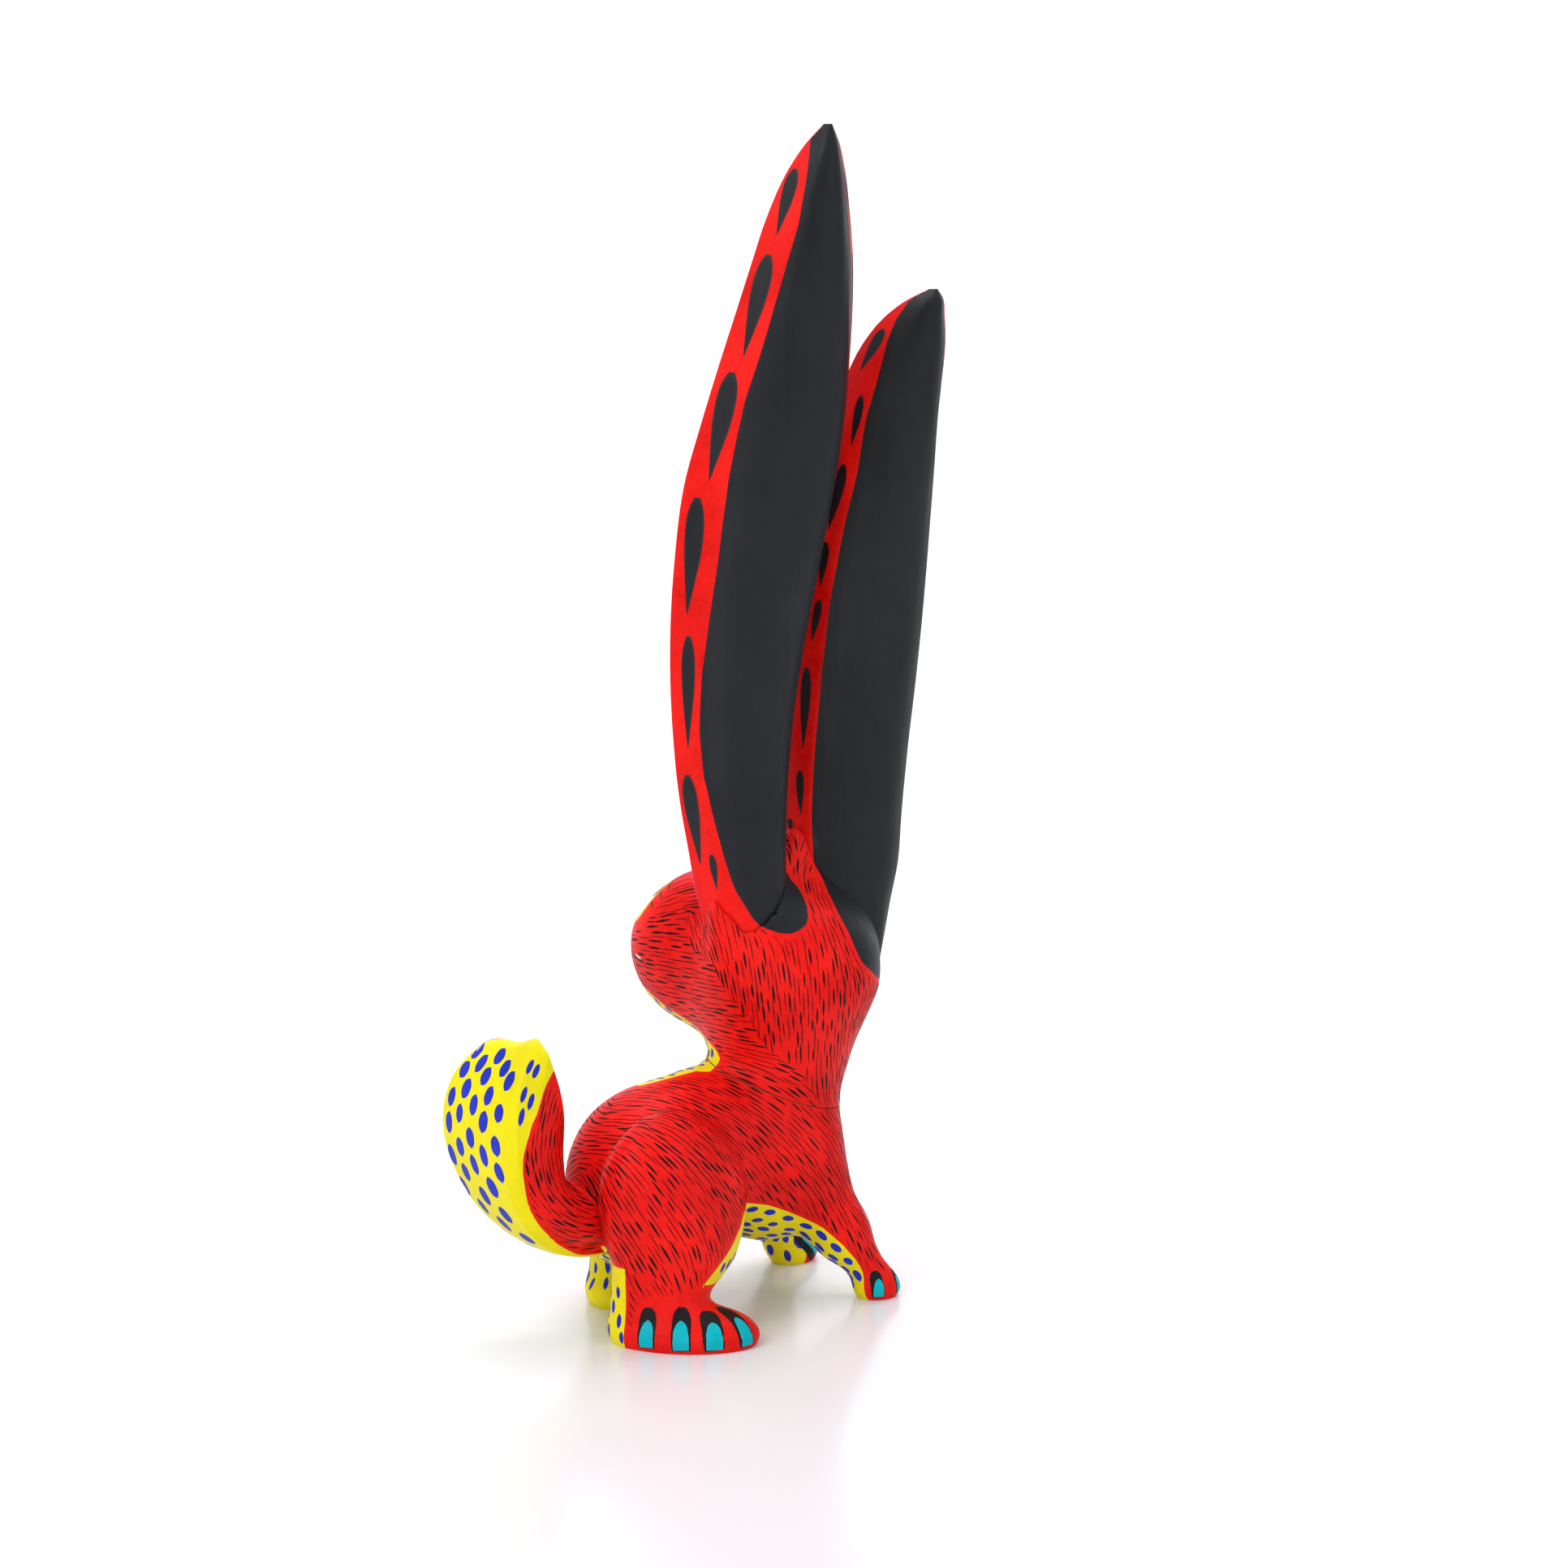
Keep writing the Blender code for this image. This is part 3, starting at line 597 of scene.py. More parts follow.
def wooden(name, colour, along):
    m = bpy.data.materials.new(name)
    m.use_nodes = True
    t = m.node_tree
    new, link = t.nodes.new, t.links.new
    shader = t.nodes["Principled BSDF"]
    place = new("ShaderNodeTexCoord")
    stretch = new("ShaderNodeMapping")
    stretch.inputs["Scale"].default_value = along
    link(place.outputs["Object"], stretch.inputs["Vector"])
    grain = new("ShaderNodeTexNoise")
    grain.inputs["Scale"].default_value = 340.0
    grain.inputs["Detail"].default_value = 6.0
    link(stretch.outputs["Vector"], grain.inputs["Vector"])
    ramp = new("ShaderNodeValToRGB")
    ramp.color_ramp.elements[0].position, ramp.color_ramp.elements[1].position = 0.32, 0.70
    ramp.color_ramp.elements[0].color = (colour[0] * 0.55, colour[1] * 0.48, colour[2] * 0.40, 1)
    ramp.color_ramp.elements[1].color = (*colour, 1)
    link(grain.outputs["Fac"], ramp.inputs["Fac"])
    link(ramp.outputs["Color"], shader.inputs["Base Color"])
    gloss = new("ShaderNodeMapRange")
    gloss.inputs["To Min"].default_value, gloss.inputs["To Max"].default_value = 0.62, 0.85
    link(grain.outputs["Fac"], gloss.inputs["Value"])
    link(gloss.outputs["Result"], shader.inputs["Roughness"])
    relief = new("ShaderNodeBump")
    relief.inputs["Strength"].default_value = 0.3
    relief.inputs["Distance"].default_value = 0.0003
    link(grain.outputs["Fac"], relief.inputs["Height"])
    link(relief.outputs["Normal"], shader.inputs["Normal"])
    m.diffuse_color = (*colour, 1)
    return m


red_paint = painted("red_brushed", (0.78, 0.005, 0.003), 0.42, vary=0.20, wear=(0.90, 0.03, 0.02), tint=(0.84, 0.008, 0.004), bump=0.10)
yellow_paint = painted("yellow_brushed", (0.86, 0.74, 0.004), 0.42, vary=0.10, wear=(0.93, 0.86, 0.20), bump=0.10)
blue_paint = painted("blue_brushed", (0.015, 0.030, 0.48), 0.45, vary=0.25, bump=0.10)
ear_blue = painted("periwinkle_brushed", (0.09, 0.12, 0.60), 0.5, vary=0.10, wear=(0.3, 0.34, 0.8), streak=(1, 1, 0.12))
black_paint = painted("charcoal_brushed", (0.0080, 0.0088, 0.0118), 0.50, vary=0.30, shine=0.24, wear=(0.06, 0.06, 0.065), streak=(1, 1, 0.06), bump=0.22, bump_scale=520.0, grain=24.0)
dark_stroke = painted("maroon_black_stroke", (0.018, 0.003, 0.005), 0.5, vary=0.30, bump=0.10)
thin_stroke = painted("deep_red_stroke", (0.10, 0.002, 0.004), 0.5, vary=0.35, bump=0.10)
claw_black = painted("claw_black", (0.012, 0.010, 0.012), 0.42, vary=0.30, bump=0.10)
turquoise = painted("turquoise_brushed", (0.0, 0.46, 0.54), 0.36, vary=0.14, wear=(0.1, 0.62, 0.68), bump=0.08)
white_paint = painted("eye_white", (0.88, 0.87, 0.82), 0.4, vary=0.06, bump=0.08)
orange_paint = painted("orange_line", (0.86, 0.42, 0.01), 0.42, vary=0.14, bump=0.08)
bare_wood = wooden("bare_copal_wood", (0.72, 0.55, 0.36), (1, 1, 0.08))

# ------------------------------------------------------------ the carved blocks, finely meshed
solids = TORSO + NECK + SKULL + STUBS + (TAIL_ROOT, HEEL_RIGHT) + HIND_RIGHT + HIND_LEFT + FORE_RIGHT + FORE_LEFT
block = carved_block("fine_body", solids, block_field, GRAIN)

ground = half_space("ground", (0, 0, 0), UP, side=-1.0)
cut(block, ground)
drop(ground)

n = unit(SEAM_NORMAL)
u = unit(np.cross(n, np.array([0.0, 1.0, 0.0])))
v = np.cross(n, u)


def flare(name, shift, wider):
    spec = ((0.0, NECK_SEAM_R), (1.4, NECK_SEAM_R + 1.5), (2.6, 34.0), (4.2, 110.0), (110.0, 112.0))
    return loft(name, [[SEAM_POINT + n * (h + shift) + (r + wider) * (math.cos(t) * u + math.sin(t) * v)
                        for t in (2 * math.pi * i / 64 for i in range(64))] for h, r in spec])


head = bpy.data.objects.new("fine_head", block.data.copy())
bpy.context.scene.collection.objects.link(head)
upper = flare("upper", GAP / 2, 0.0)
cut(head, upper, "INTERSECT")
drop(upper)
upper = flare("upper", -GAP / 2, 0.35)
cut(block, upper)
drop(upper)


def spline(xs, ys, at):
    """Smooth curve through the given values, without overshoot at the ends."""
    xs, ys = np.asarray(xs, float), np.asarray(ys, float)
    h = np.diff(xs)
    slope = np.diff(ys, axis=0) / h[:, None]
    m = np.zeros_like(ys)
    m[1:-1] = (slope[:-1] * h[1:, None] + slope[1:] * h[:-1, None]) / (h[1:] + h[:-1])[:, None]
    m[0], m[-1] = slope[0], slope[-1]
    i = np.clip(np.searchsorted(xs, at, side="right") - 1, 0, len(xs) - 2)
    t = ((at - xs[i]) / h[i])[:, None]
    w = h[i][:, None]
    return ((1 + 2 * t) * (1 - t) ** 2 * ys[i] + t * (1 - t) ** 2 * w * m[i] + t * t * (3 - 2 * t) * ys[i + 1] + t * t * (t - 1) * w * m[i + 1])


def ear_outline(ridge):
    """(s, h) round an ear, with its paint edges as corners; finer than the driving outline."""
    r = ridge
    front = np.array([(-0.93, -0.62), (-0.5, -0.74), (0.0, -0.78), (0.5, -0.74), (0.93, -0.62)])
    back = np.array([(r, 0.52), (r * 0.72, 0.80), (r * 0.38, 0.95), (0.0, 1.0), (-r * 0.38, 0.95), (-r * 0.72, 0.80), (-r, 0.52)])
    a = spline(np.arange(5.0), front, np.linspace(0, 4, 15))
    b = spline(np.arange(7.0), back, np.linspace(0, 6, 23))
    steps = np.linspace(0, 1, 6)[1:-1, None]
    rim = np.array([(1.0, -0.42)])
    right = np.array([1.0, -0.42]) * (1 - steps) + back[0] * steps
    left = back[-1] * (1 - steps) + np.array([-1.0, -0.42]) * steps
    return np.concatenate([a, rim, right, b, left, np.array([(-1.0, -0.42)])])


def fine_ear(ear):
    st = np.array(ear["stations"], float)
    z = np.unique(np.concatenate([np.arange(st[0, 0], st[-1, 0], 3.2), st[-3:, 0], np.linspace(st[-3, 0], st[-1, 0], 9)]))
    rows = spline(st[:, 0], st[:, 1:], z)
    rings = []
    for height, (across, half, thick, ridge) in zip(z, rows):
        middle = in_plan(across, ear["depth"], height)
        rings.append([middle + s * half * EAR_AXES[0] + h * thick * EAR_AXES[1] for s, h in ear_outline(ridge)])
    return rings


def ear_place(p, ear):
    """(s, h, z) of points in an ear's own section, with its half width, half thickness and ridge there."""
    st = np.array(ear["stations"], float)
    z = np.clip(p[:, 2], st[0, 0], st[-1, 0])
    rows = spline(st[:, 0], st[:, 1:], z)
    q = p - rows[:, :1] * ACROSS - ear["depth"] * DEPTH
    return q @ EAR_AXES[0], q @ EAR_AXES[1], p[:, 2], rows[:, 1], rows[:, 2], rows[:, 3]


def ear_point(ear, s, h, z):
    st = np.array(ear["stations"], float)
    row = spline(st[:, 0], st[:, 1:], np.array([float(z)]))[0]
    return in_plan(row[0], ear["depth"], z) + s * EAR_AXES[0] + h * EAR_AXES[1]


def carve(obj, tool):
    """Cuts, and cuts again a hair to one side if touching faces made the cut swallow the block."""
    for _ in range(4):
        before = obj.data.copy()
        cut(obj, tool)
        if len(obj.data.polygons) > 0.7 * len(before.polygons):
            bpy.data.meshes.remove(before)
            return
        obj.data = before
        tool.data.transform(Matrix.Translation(Vector((0.05, -0.07, 0.06)) * MM))


ear_meshes = {}
for name, ear in (("left_ear", LEFT_EAR), ("right_ear", RIGHT_EAR)):
    point, normal, lift = seat_of(ear)
    solid = loft("fine_" + name, fine_ear(ear))
    below = half_space("below", point, normal, side=-1.0)
    cut(solid, below)
    drop(below)
    housing = loft("housing", ear_rings(ear, 1.2))
    below = half_space("below", point - normal * GAP, normal, side=-1.0)
    cut(housing, below)
    drop(below)
    for rise in (0.0, 3.0, 3.0, 3.0, 3.0, 4.0):
        housing.data.transform(Matrix.Translation(Vector(lift * rise * MM)))
        carve(head, housing)
    drop(housing)
    lower, higher = point - lift * EAR_PUSH, point + lift * (EAR_DOWEL_L - EAR_PUSH)
    socket = cylinder("socket", lower - lift * 0.6, higher + lift * 0.6, EAR_DOWEL_R + GAP, 48)
    cut(head, socket)
    cut(solid, socket)
    drop(socket)
    ear_meshes[name] = solid

st = np.array([(*row, i) for i, row in enumerate(TAIL)], float)
arc = np.concatenate([[0], np.cumsum(np.linalg.norm(np.diff(st[:, :3], axis=0), axis=1))])
tail_at = np.unique(np.concatenate([np.arange(0, arc[-1], 1.9), arc[-3:], np.linspace(arc[-3], arc[-1], 8)]))
tail_rows = spline(arc, st, tail_at)
tail_ahead = np.gradient(spline(arc, st[:, :3], tail_at), tail_at, axis=0)
tail_ahead /= np.linalg.norm(tail_ahead, axis=1)[:, None]
TAIL_SIDE = np.array([0.0, 1.0, 0.0])


def near_edge(station):
    """(paint line height in section units, and a 0 to 1 share of how far the corner has turned into the rounded
    shoulder) down the near rear corner.
    """
    line = np.interp(station, (0.0, 2.0, 2.3, 2.7, 3.1, 5.0, 5.8, 6.8, 8.2, 9.1, 10.0, 11.0), (-0.98, -0.92, -0.84, -0.75, -0.67, -0.64, -0.56, -0.43, -0.35, -0.38, -0.42, -0.48))
    t = np.clip((station - 5.6) / 3.2, 0, 1)
    return line, t * t * (3 - 2 * t)


def tail_rise(s, z, h=-1.0):
    """How far the near side of the tip stands up above the curl."""
    lift = min(1.0, max(0.0, (z - 80.0) / 20.0)) ** 1.4 * min(1.0, max(0.0, (0.35 - s) / 1.35)) ** 2.0
    return 6.6 * lift * (1.0 + 0.75 * min(1.0, max(0.0, (h + 1.0) / 0.6)))


def tip_cap(p):
    """Holds the top of the tip to one level."""
    return p if p[2] < 109.5 else p - 0.75 * (p[2] - 109.5) * UP


def near_corner(station, face):
    line, w = near_edge(station)
    p0 = np.array([-face * (1 - w) - w, max(line, -0.64)])
    p1 = np.array([-face * 0.985, -0.70]) * (1 - w) + np.array([-0.85, -0.99]) * w
    p2 = np.array([-face * 0.80, -0.98]) * (1 - w) + np.array([-0.68, -1.03]) * w
    return p0, p1, p2


def tail_ring(i):
    x, y, z, half, thick, face, full, station = tail_rows[i]
    back = np.cross(TAIL_SIDE, tail_ahead[i])
    back /= np.linalg.norm(back)
    p0, p1, p2 = near_corner(station, face)
    rear = [p0, p1, p2, (-face * 0.3, -1.06), (face * 0.3, -1.06), (face * 0.80, -0.98), (face, -0.66)]
    lines = []
    for a, b, k in zip(rear[:-1], rear[1:], (4, 2, 4, 4, 4, 3)):
        for j in range(k):
            lines.append((a[0] + (b[0] - a[0]) * j / k, a[1] + (b[1] - a[1]) * j / k))
    lines.append((face, -0.66))
    front = np.array([(face, -0.66), (1.0, -0.2), (0.93, 0.40), (0.68, 0.78), (0.24, 0.98), (-0.24, 0.98), (-0.68, 0.78), (-0.93, 0.40),
                      (-1.0, max(-0.2, p0[1] + 0.15)), (p0[0], p0[1])])
    lines += [tuple(q) for q in spline(np.arange(10.0), front, np.linspace(0, 9, 37))[1:-1]]
    centre = np.array([x, y, z])
    return [tip_cap(centre + s * half * TAIL_SIDE + h * thick * (full if h > 0 else 1.0) * back + tail_rise(s, z, h) * UP) for s, h in lines]


tail = loft("fine_tail", [tail_ring(i) for i in range(len(tail_rows))])
inside = half_space("inside", TAIL_POINT, TAIL_NORMAL, side=-1.0)
cut(tail, inside)
drop(inside)
housing = loft("housing", tail_rings(0.4))
inside = half_space("inside", TAIL_POINT - unit(TAIL_NORMAL) * GAP, TAIL_NORMAL, side=-1.0)
cut(housing, inside)
drop(inside)
cut(block, housing)
drop(housing)
axis = unit((-0.985, 0.0, 0.17))
middle = TAIL_POINT + np.array([0.0, 0.0, 1.5])
a, b = middle - axis * TAIL_DOWEL_L * 0.5, middle + axis * TAIL_DOWEL_L * 0.5
socket = cylinder("socket", a - axis * 0.6, b + axis * 0.6, TAIL_DOWEL_R + GAP, 40)
cut(block, socket)
cut(tail, socket)
drop(socket)
for offset in (8.5, -8.5):
    middle = SEAM_POINT - offset * u
    a, b = middle - n * NECK_DOWEL_L * 0.5, middle + n * NECK_DOWEL_L * 0.5
    socket = cylinder("socket", a - n * 0.6, b + n * 0.6, NECK_DOWEL_R + GAP, 40)
    cut(block, socket)
    cut(head, socket)
    drop(socket)

body_co, body_tri = as_arrays(block)
head_co, head_tri = as_arrays(head)
tail_co, tail_tri = as_arrays(tail)
ears = {name: as_arrays(obj) for name, obj in ear_meshes.items()}
for obj in (block, head, tail, *ear_meshes.values()):
    drop(obj)

for zone in (underside, bib):
    body_co, body_tri = divided(body_co, body_tri, zone)
for zone in (bib, near_lobe, far_lobe):
    head_co, head_tri = divided(head_co, head_tri, zone)

# faces left by a saw or a drill show bare wood
def bare(co, tri):
    m, f = middles(co, tri), facing(co, tri)
    off = np.abs(block_field(m)) > 0.35
    return off & (m[:, 2] > 0.05)


def bored(m, point, axis, low, high, radius):
    """Faces of a round socket about the line through point along axis."""
    w = m - point
    along = w @ axis
    away = np.linalg.norm(w - along[:, None] * axis, axis=1)
    return (away < radius) & (along > low) & (along < high)


def head_bare(co, tri):
    m, f = middles(co, tri), facing(co, tri)
    out = bare(co, tri) & ((m - SEAM_POINT) @ unit(SEAM_NORMAL) < 6.0)
    for ear in (LEFT_EAR, RIGHT_EAR):
        point, normal, lift = seat_of(ear)
        s, h, z, half, thick, ridge = ear_place(m, ear)
        covered = (s / (0.86 * half)) ** 2 + (h / (0.8 * thick)) ** 2 < 1.0
        out |= (np.abs((m - point) @ normal + GAP) < 0.06) & (f @ normal > 0.97) & (np.abs(block_field(m)) > 0.3) & covered
        out |= bored(m, point, lift, -EAR_PUSH - 1.5, 2.0, EAR_DOWEL_R + 0.6) & (np.abs(block_field(m)) > 0.3)
    return out


body_mid, head_mid = middles(body_co, body_tri), middles(head_co, head_tri)
body_label = np.where(np.maximum(underside(body_mid), bib(body_mid)) > 0, 1, 0)
behind = (body_mid[:, 0] < -50) & (np.abs((body_mid - TAIL_POINT) @ unit(TAIL_NORMAL) + GAP) > 0.08) & ~bored(body_mid, TAIL_POINT + np.array([0.0, 0.0, 1.5]), unit((-0.985, 0.0, 0.17)), -TAIL_DOWEL_L, 0.5, TAIL_DOWEL_R + 0.6)
body_label[bare(body_co, body_tri) & ~behind] = 2
head_label = np.where(bib(head_mid) > 0, 1, 0)
head_label[(near_lobe(head_mid) > 0) | (far_lobe(head_mid) > 0)] = 3
head_label[head_bare(head_co, head_tri)] = 2
carved_body = piece("carved_body", body_co, body_tri, body_label, [red_paint, yellow_paint, bare_wood], "figure", "red_paint")
carved_head = piece("carved_head", head_co, head_tri, head_label, [red_paint, yellow_paint, bare_wood, black_paint], "figure", "red_paint")
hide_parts("body_block")
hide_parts("head_block")

# tail: yellow rear face, red back, bare saw cut against the rump
def tail_place(p):
    """(station values, s, h, way along, way back) at points beside the tail's centre line"""
    a, b = tail_rows[:-1, :3], tail_rows[1:, :3]
    e = b - a
    t = np.clip(((p[:, None] - a) * e).sum(2) / (e * e).sum(1), 0, 1)
    i = ((p[:, None] - a - t[..., None] * e) ** 2).sum(2).argmin(1)
    w = t[np.arange(len(p)), i][:, None]
    row = tail_rows[i] * (1 - w) + tail_rows[i + 1] * w
    ahead = tail_ahead[i] * (1 - w) + tail_ahead[i + 1] * w
    ahead /= np.linalg.norm(ahead, axis=1)[:, None]
    back = np.cross(TAIL_SIDE, ahead)
    back /= np.linalg.norm(back, axis=1)[:, None]
    q = p - row[:, :3]
    return row, q @ TAIL_SIDE, (q * back).sum(1), ahead, back


def tail_yellow(p):
    """Positive between the two long corners of the rear side."""
    row, s, h, ahead, back = tail_place(p)
    line = np.where(s < 0, near_edge(row[:, 7])[0], -0.66) * row[:, 4]
    return line + 0.15 - h


tail_co, tail_tri = divided(tail_co, tail_tri, tail_yellow)
tail_mid, tail_face = middles(tail_co, tail_tri), facing(tail_co, tail_tri)
tail_label = np.where(tail_yellow(tail_mid) > 0, 1, 0)
seat = (np.abs((tail_mid - TAIL_POINT) @ unit(TAIL_NORMAL)) < 0.05) & (tail_mid[:, 2] < 56)
peg_axis = unit((-0.985, 0.0, 0.17))
tail_label[seat | bored(tail_mid, TAIL_POINT + np.array([0.0, 0.0, 1.5]), peg_axis, -1.0, TAIL_DOWEL_L * 0.5 + 1.2, TAIL_DOWEL_R + 0.6)] = 2
curled_tail = piece("curled_tail", tail_co, tail_tri, tail_label, [red_paint, yellow_paint, bare_wood], "figure", "red_paint", 28)
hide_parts("tail")

# ears: black back, red rims with the paint line as measured down the near rim, blue front
NEAR_EDGE = ((393.4, 5.4), (382.3, 6.8), (367.2, 8.8), (354.0, 11.7), (340.7, 14.1), (324.5, 16.6), (310.3, 18.9), (297.7, 19.9), (285.3, 20.3),
             (271.8, 19.9), (258.2, 19.4), (239.4, 19.1), (220.3, 18.8), (201.2, 17.7), (184.8, 16.1), (171.2, 13.8), (157.4, 11.4), (147.8, 9.2),
             (136.4, 3.8), (130.0, -2.0))
FAR_EDGE = ((344.0, 3.0), (339.8, 7.1), (333.7, 9.6), (326.9, 11.3), (315.4, 12.6), (301.7, 14.2), (283.1, 15.1), (268.2, 16.7), (239.9, 18.7),
            (216.3, 19.0), (189.4, 18.3), (166.5, 17.7), (152.7, 16.7), (140.0, 15.0), (110.0, 9.0))


def black_of(ear, edge):
    line = np.array(edge)[::-1]

    def value(p):
        s, h, z, half, thick, ridge = ear_place(p, ear)
        left = s + np.interp(z, line[:, 0], line[:, 1])
        right = np.maximum(np.interp(z, line[:, 0], line[:, 1]), (0.55 + 0.45 * ridge) * half) - s
        return np.minimum(left, right)
    return value


ear_trees, ear_black = {}, {}
for name, ear, edge in (("left_ear", LEFT_EAR, NEAR_EDGE), ("right_ear", RIGHT_EAR, FAR_EDGE)):
    co, tri = ears[name]
    black = black_of(ear, edge)
    co, tri = divided(co, tri, black)
    m, f = middles(co, tri), facing(co, tri)
    s, h, z, half, thick, ridge = ear_place(m, ear)
    front = (h < -0.42 * thick - 0.03) & (f @ EAR_AXES[1] < -0.15)
    label = np.where(front, 2, np.where((black(m) > 0) & (h > -0.3 * thick), 0, 1))
    point, normal, lift = seat_of(ear)
    seat = (np.abs((m - point) @ normal) < 0.05) & (np.abs(f @ normal) > 0.9)
    covered = (s / (0.62 * half)) ** 2 + (h / (0.62 * thick)) ** 2 < 1.0
    label[seat & ~covered] = 1
    seat &= covered
    label[seat | bored(m, point, lift, -2.0, EAR_DOWEL_L - EAR_PUSH + 1.5, EAR_DOWEL_R + 0.6)] = 3
    made = piece(name + "_carving", co, tri, label, [black_paint, red_paint, ear_blue, bare_wood], name, "black_paint", 30)
    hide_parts(name)
    ear_trees[name], ear_black[name] = tree_of(co, tri), black

for name in ("left_ear_dowel", "right_ear_dowel", "neck_dowel_front", "neck_dowel_rear", "tail_dowel"):
    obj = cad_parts[name]
    obj.data.materials.clear()
    obj.data.materials.append(bare_wood)

body_tree, head_tree, tail_tree = tree_of(body_co, body_tri), tree_of(head_co, head_tri), tree_of(tail_co, tail_tri)


# ------------------------------------------------------------ brush work laid on the carving
def nearest(tree, points):
    hit, normal, away = np.empty_like(points), np.empty_like(points), np.empty(len(points))
    for i, p in enumerate(points):
        q, m, _, d = tree.find_nearest(Vector(p))
        hit[i], normal[i], away[i] = q, m, d
    return hit, normal, away


class Coat:
    """Thin closed flakes of paint, gathered into one mesh."""

    def __init__(self):
        self.points, self.faces, self.count = [], [], 0

    def add(self, top, under):
        """top and under: (flakes, stations, places across, 3)"""
        k, rows, wide = top.shape[:3]
        per = rows * wide
        grid = np.arange(per).reshape(rows, wide)
        a = np.stack([grid[:-1, :-1], grid[:-1, 1:], grid[1:, 1:], grid[1:, :-1]], -1).reshape(-1, 4)
        b = a[:, ::-1] + per
        ring = np.concatenate([grid[0, :], grid[1:, -1], grid[-1, -2::-1], grid[-2:0:-1, 0]])
        nxt = np.roll(ring, -1)
        skirt = np.stack([nxt, ring, ring + per, nxt + per], -1)
        one = np.concatenate([a, b, skirt])
        both = np.concatenate([top.reshape(k, per, 3), under.reshape(k, per, 3)], 1)
        start = self.count + np.arange(k) * per * 2
        self.points.append(both.reshape(-1, 3))
        self.faces.append((one[None] + start[:, None, None]).reshape(-1, 4))
        self.count += k * per * 2

    def make(self, name, material, body, slot):
        co, quads = np.concatenate(self.points), np.concatenate(self.faces)
        obj = piece(name, co, quads, np.zeros(len(quads), int), [material], body, slot, 0)
        bm = bmesh.new()
        bm.from_mesh(obj.data)
        bmesh.ops.recalc_face_normals(bm, faces=bm.faces)
        bm.to_mesh(obj.data)
        bm.free()
        obj.data.set_sharp_from_angle(angle=math.radians(40))
        return obj


def swath(tree, centre, normal, ahead, half, wide, lift, keep_normal=False):
    """Lays flakes: centre (k, stations, 3) with half widths (k, stations); returns top and under grids."""
    side = np.cross(normal, ahead)
    side /= np.maximum(np.linalg.norm(side, axis=2), 1e-9)[..., None]
    spread = np.linspace(-1, 1, wide)
    points = centre[:, :, None, :] + side[:, :, None, :] * (half[:, :, None] * spread)[..., None]
    hit, norm, away = nearest(tree, points.reshape(-1, 3))
    top = (hit + norm * lift).reshape(points.shape)
    under = (hit - norm * 0.12).reshape(points.shape)
    return top, under, away.reshape(points.shape[:3])


def guide_flow(table, normals_of, split_by=None):
    """Brush direction anywhere, read off nearby measured strokes."""
    g = np.array([[float(v) for v in row.split()] for row in table.split(",") if row.strip()])
    place, way = g[:, :3], g[:, 3:]
    # the unseen flank repeats the seen one, mirrored, wherever nothing was measured
    on_body = place[:, 2] < 76
    flipped, turned_way = place.copy(), way.copy()
    flipped[on_body, 1] *= -1
    turned_way[on_body, 1] *= -1
    f, l, z = head_place(place[~on_body])
    wf, wl = way[~on_body] @ FACE, way[~on_body] @ CHEEK
    flipped[~on_body] = HEAD + np.outer(f, FACE) - np.outer(l, CHEEK) + np.outer(z, UP)
    turned_way[~on_body] = np.outer(wf, FACE) - np.outer(wl, CHEEK) + np.outer(way[~on_body][:, 2], UP)
    new = ((flipped[:, None] - place[None]) ** 2).sum(2).min(1) > 11.0 ** 2
    place, way = np.concatenate([place, flipped[new]]), np.concatenate([way, turned_way[new]])
    group = (above_neck(place) > 0) | (place[:, 2] < 74)
    outward = normals_of(place)
    tensor = (way[:, :, None] * way[:, None, :]).reshape(-1, 9)

    def flow(p, m, before=None):
        mine = (above_neck(p) > 0) | (p[:, 2] < 66)
        out = np.empty_like(p)
        for a in range(0, len(p), 4000):
            q, k = p[a:a + 4000], m[a:a + 4000]
            d2 = ((q[:, None] - place[None]) ** 2).sum(2)
            w = np.exp(-d2 / (2 * 5.5 ** 2)) + 2e-4 * np.exp(-d2 / (2 * 18.0 ** 2)) + 1e-9 / (1 + d2)
            w *= (0.03 + np.clip(k @ outward.T, 0, 1)) ** 2
            w *= np.where(mine[a:a + 4000, None] == group[None], 1.0, 1e-4)
            t = (w @ tensor).reshape(-1, 3, 3)
            e1 = np.cross(k, np.array([0.31, 0.17, 0.93]))
            e1 /= np.maximum(np.linalg.norm(e1, axis=1), 1e-9)[:, None]
            e2 = np.cross(k, e1)
            xx = np.einsum("ni,nij,nj->n", e1, t, e1)
            yy = np.einsum("ni,nij,nj->n", e2, t, e2)
            xy = np.einsum("ni,nij,nj->n", e1, t, e2)
            angle = 0.5 * np.arctan2(2 * xy, xx - yy)
            d = np.cos(angle)[:, None] * e1 + np.sin(angle)[:, None] * e2
            like = (d * (w @ way)).sum(1) if before is None else (d * before[a:a + 4000]).sum(1)
            out[a:a + 4000] = np.where(like[:, None] < 0, -d, d)
        return out
    return flow


def field_normals(p):
    e = 0.2
    g = np.stack([block_field(p + e * np.eye(3)[i]) - block_field(p - e * np.eye(3)[i]) for i in range(3)], axis=1)
    return g / np.maximum(np.linalg.norm(g, axis=1), 1e-9)[:, None]


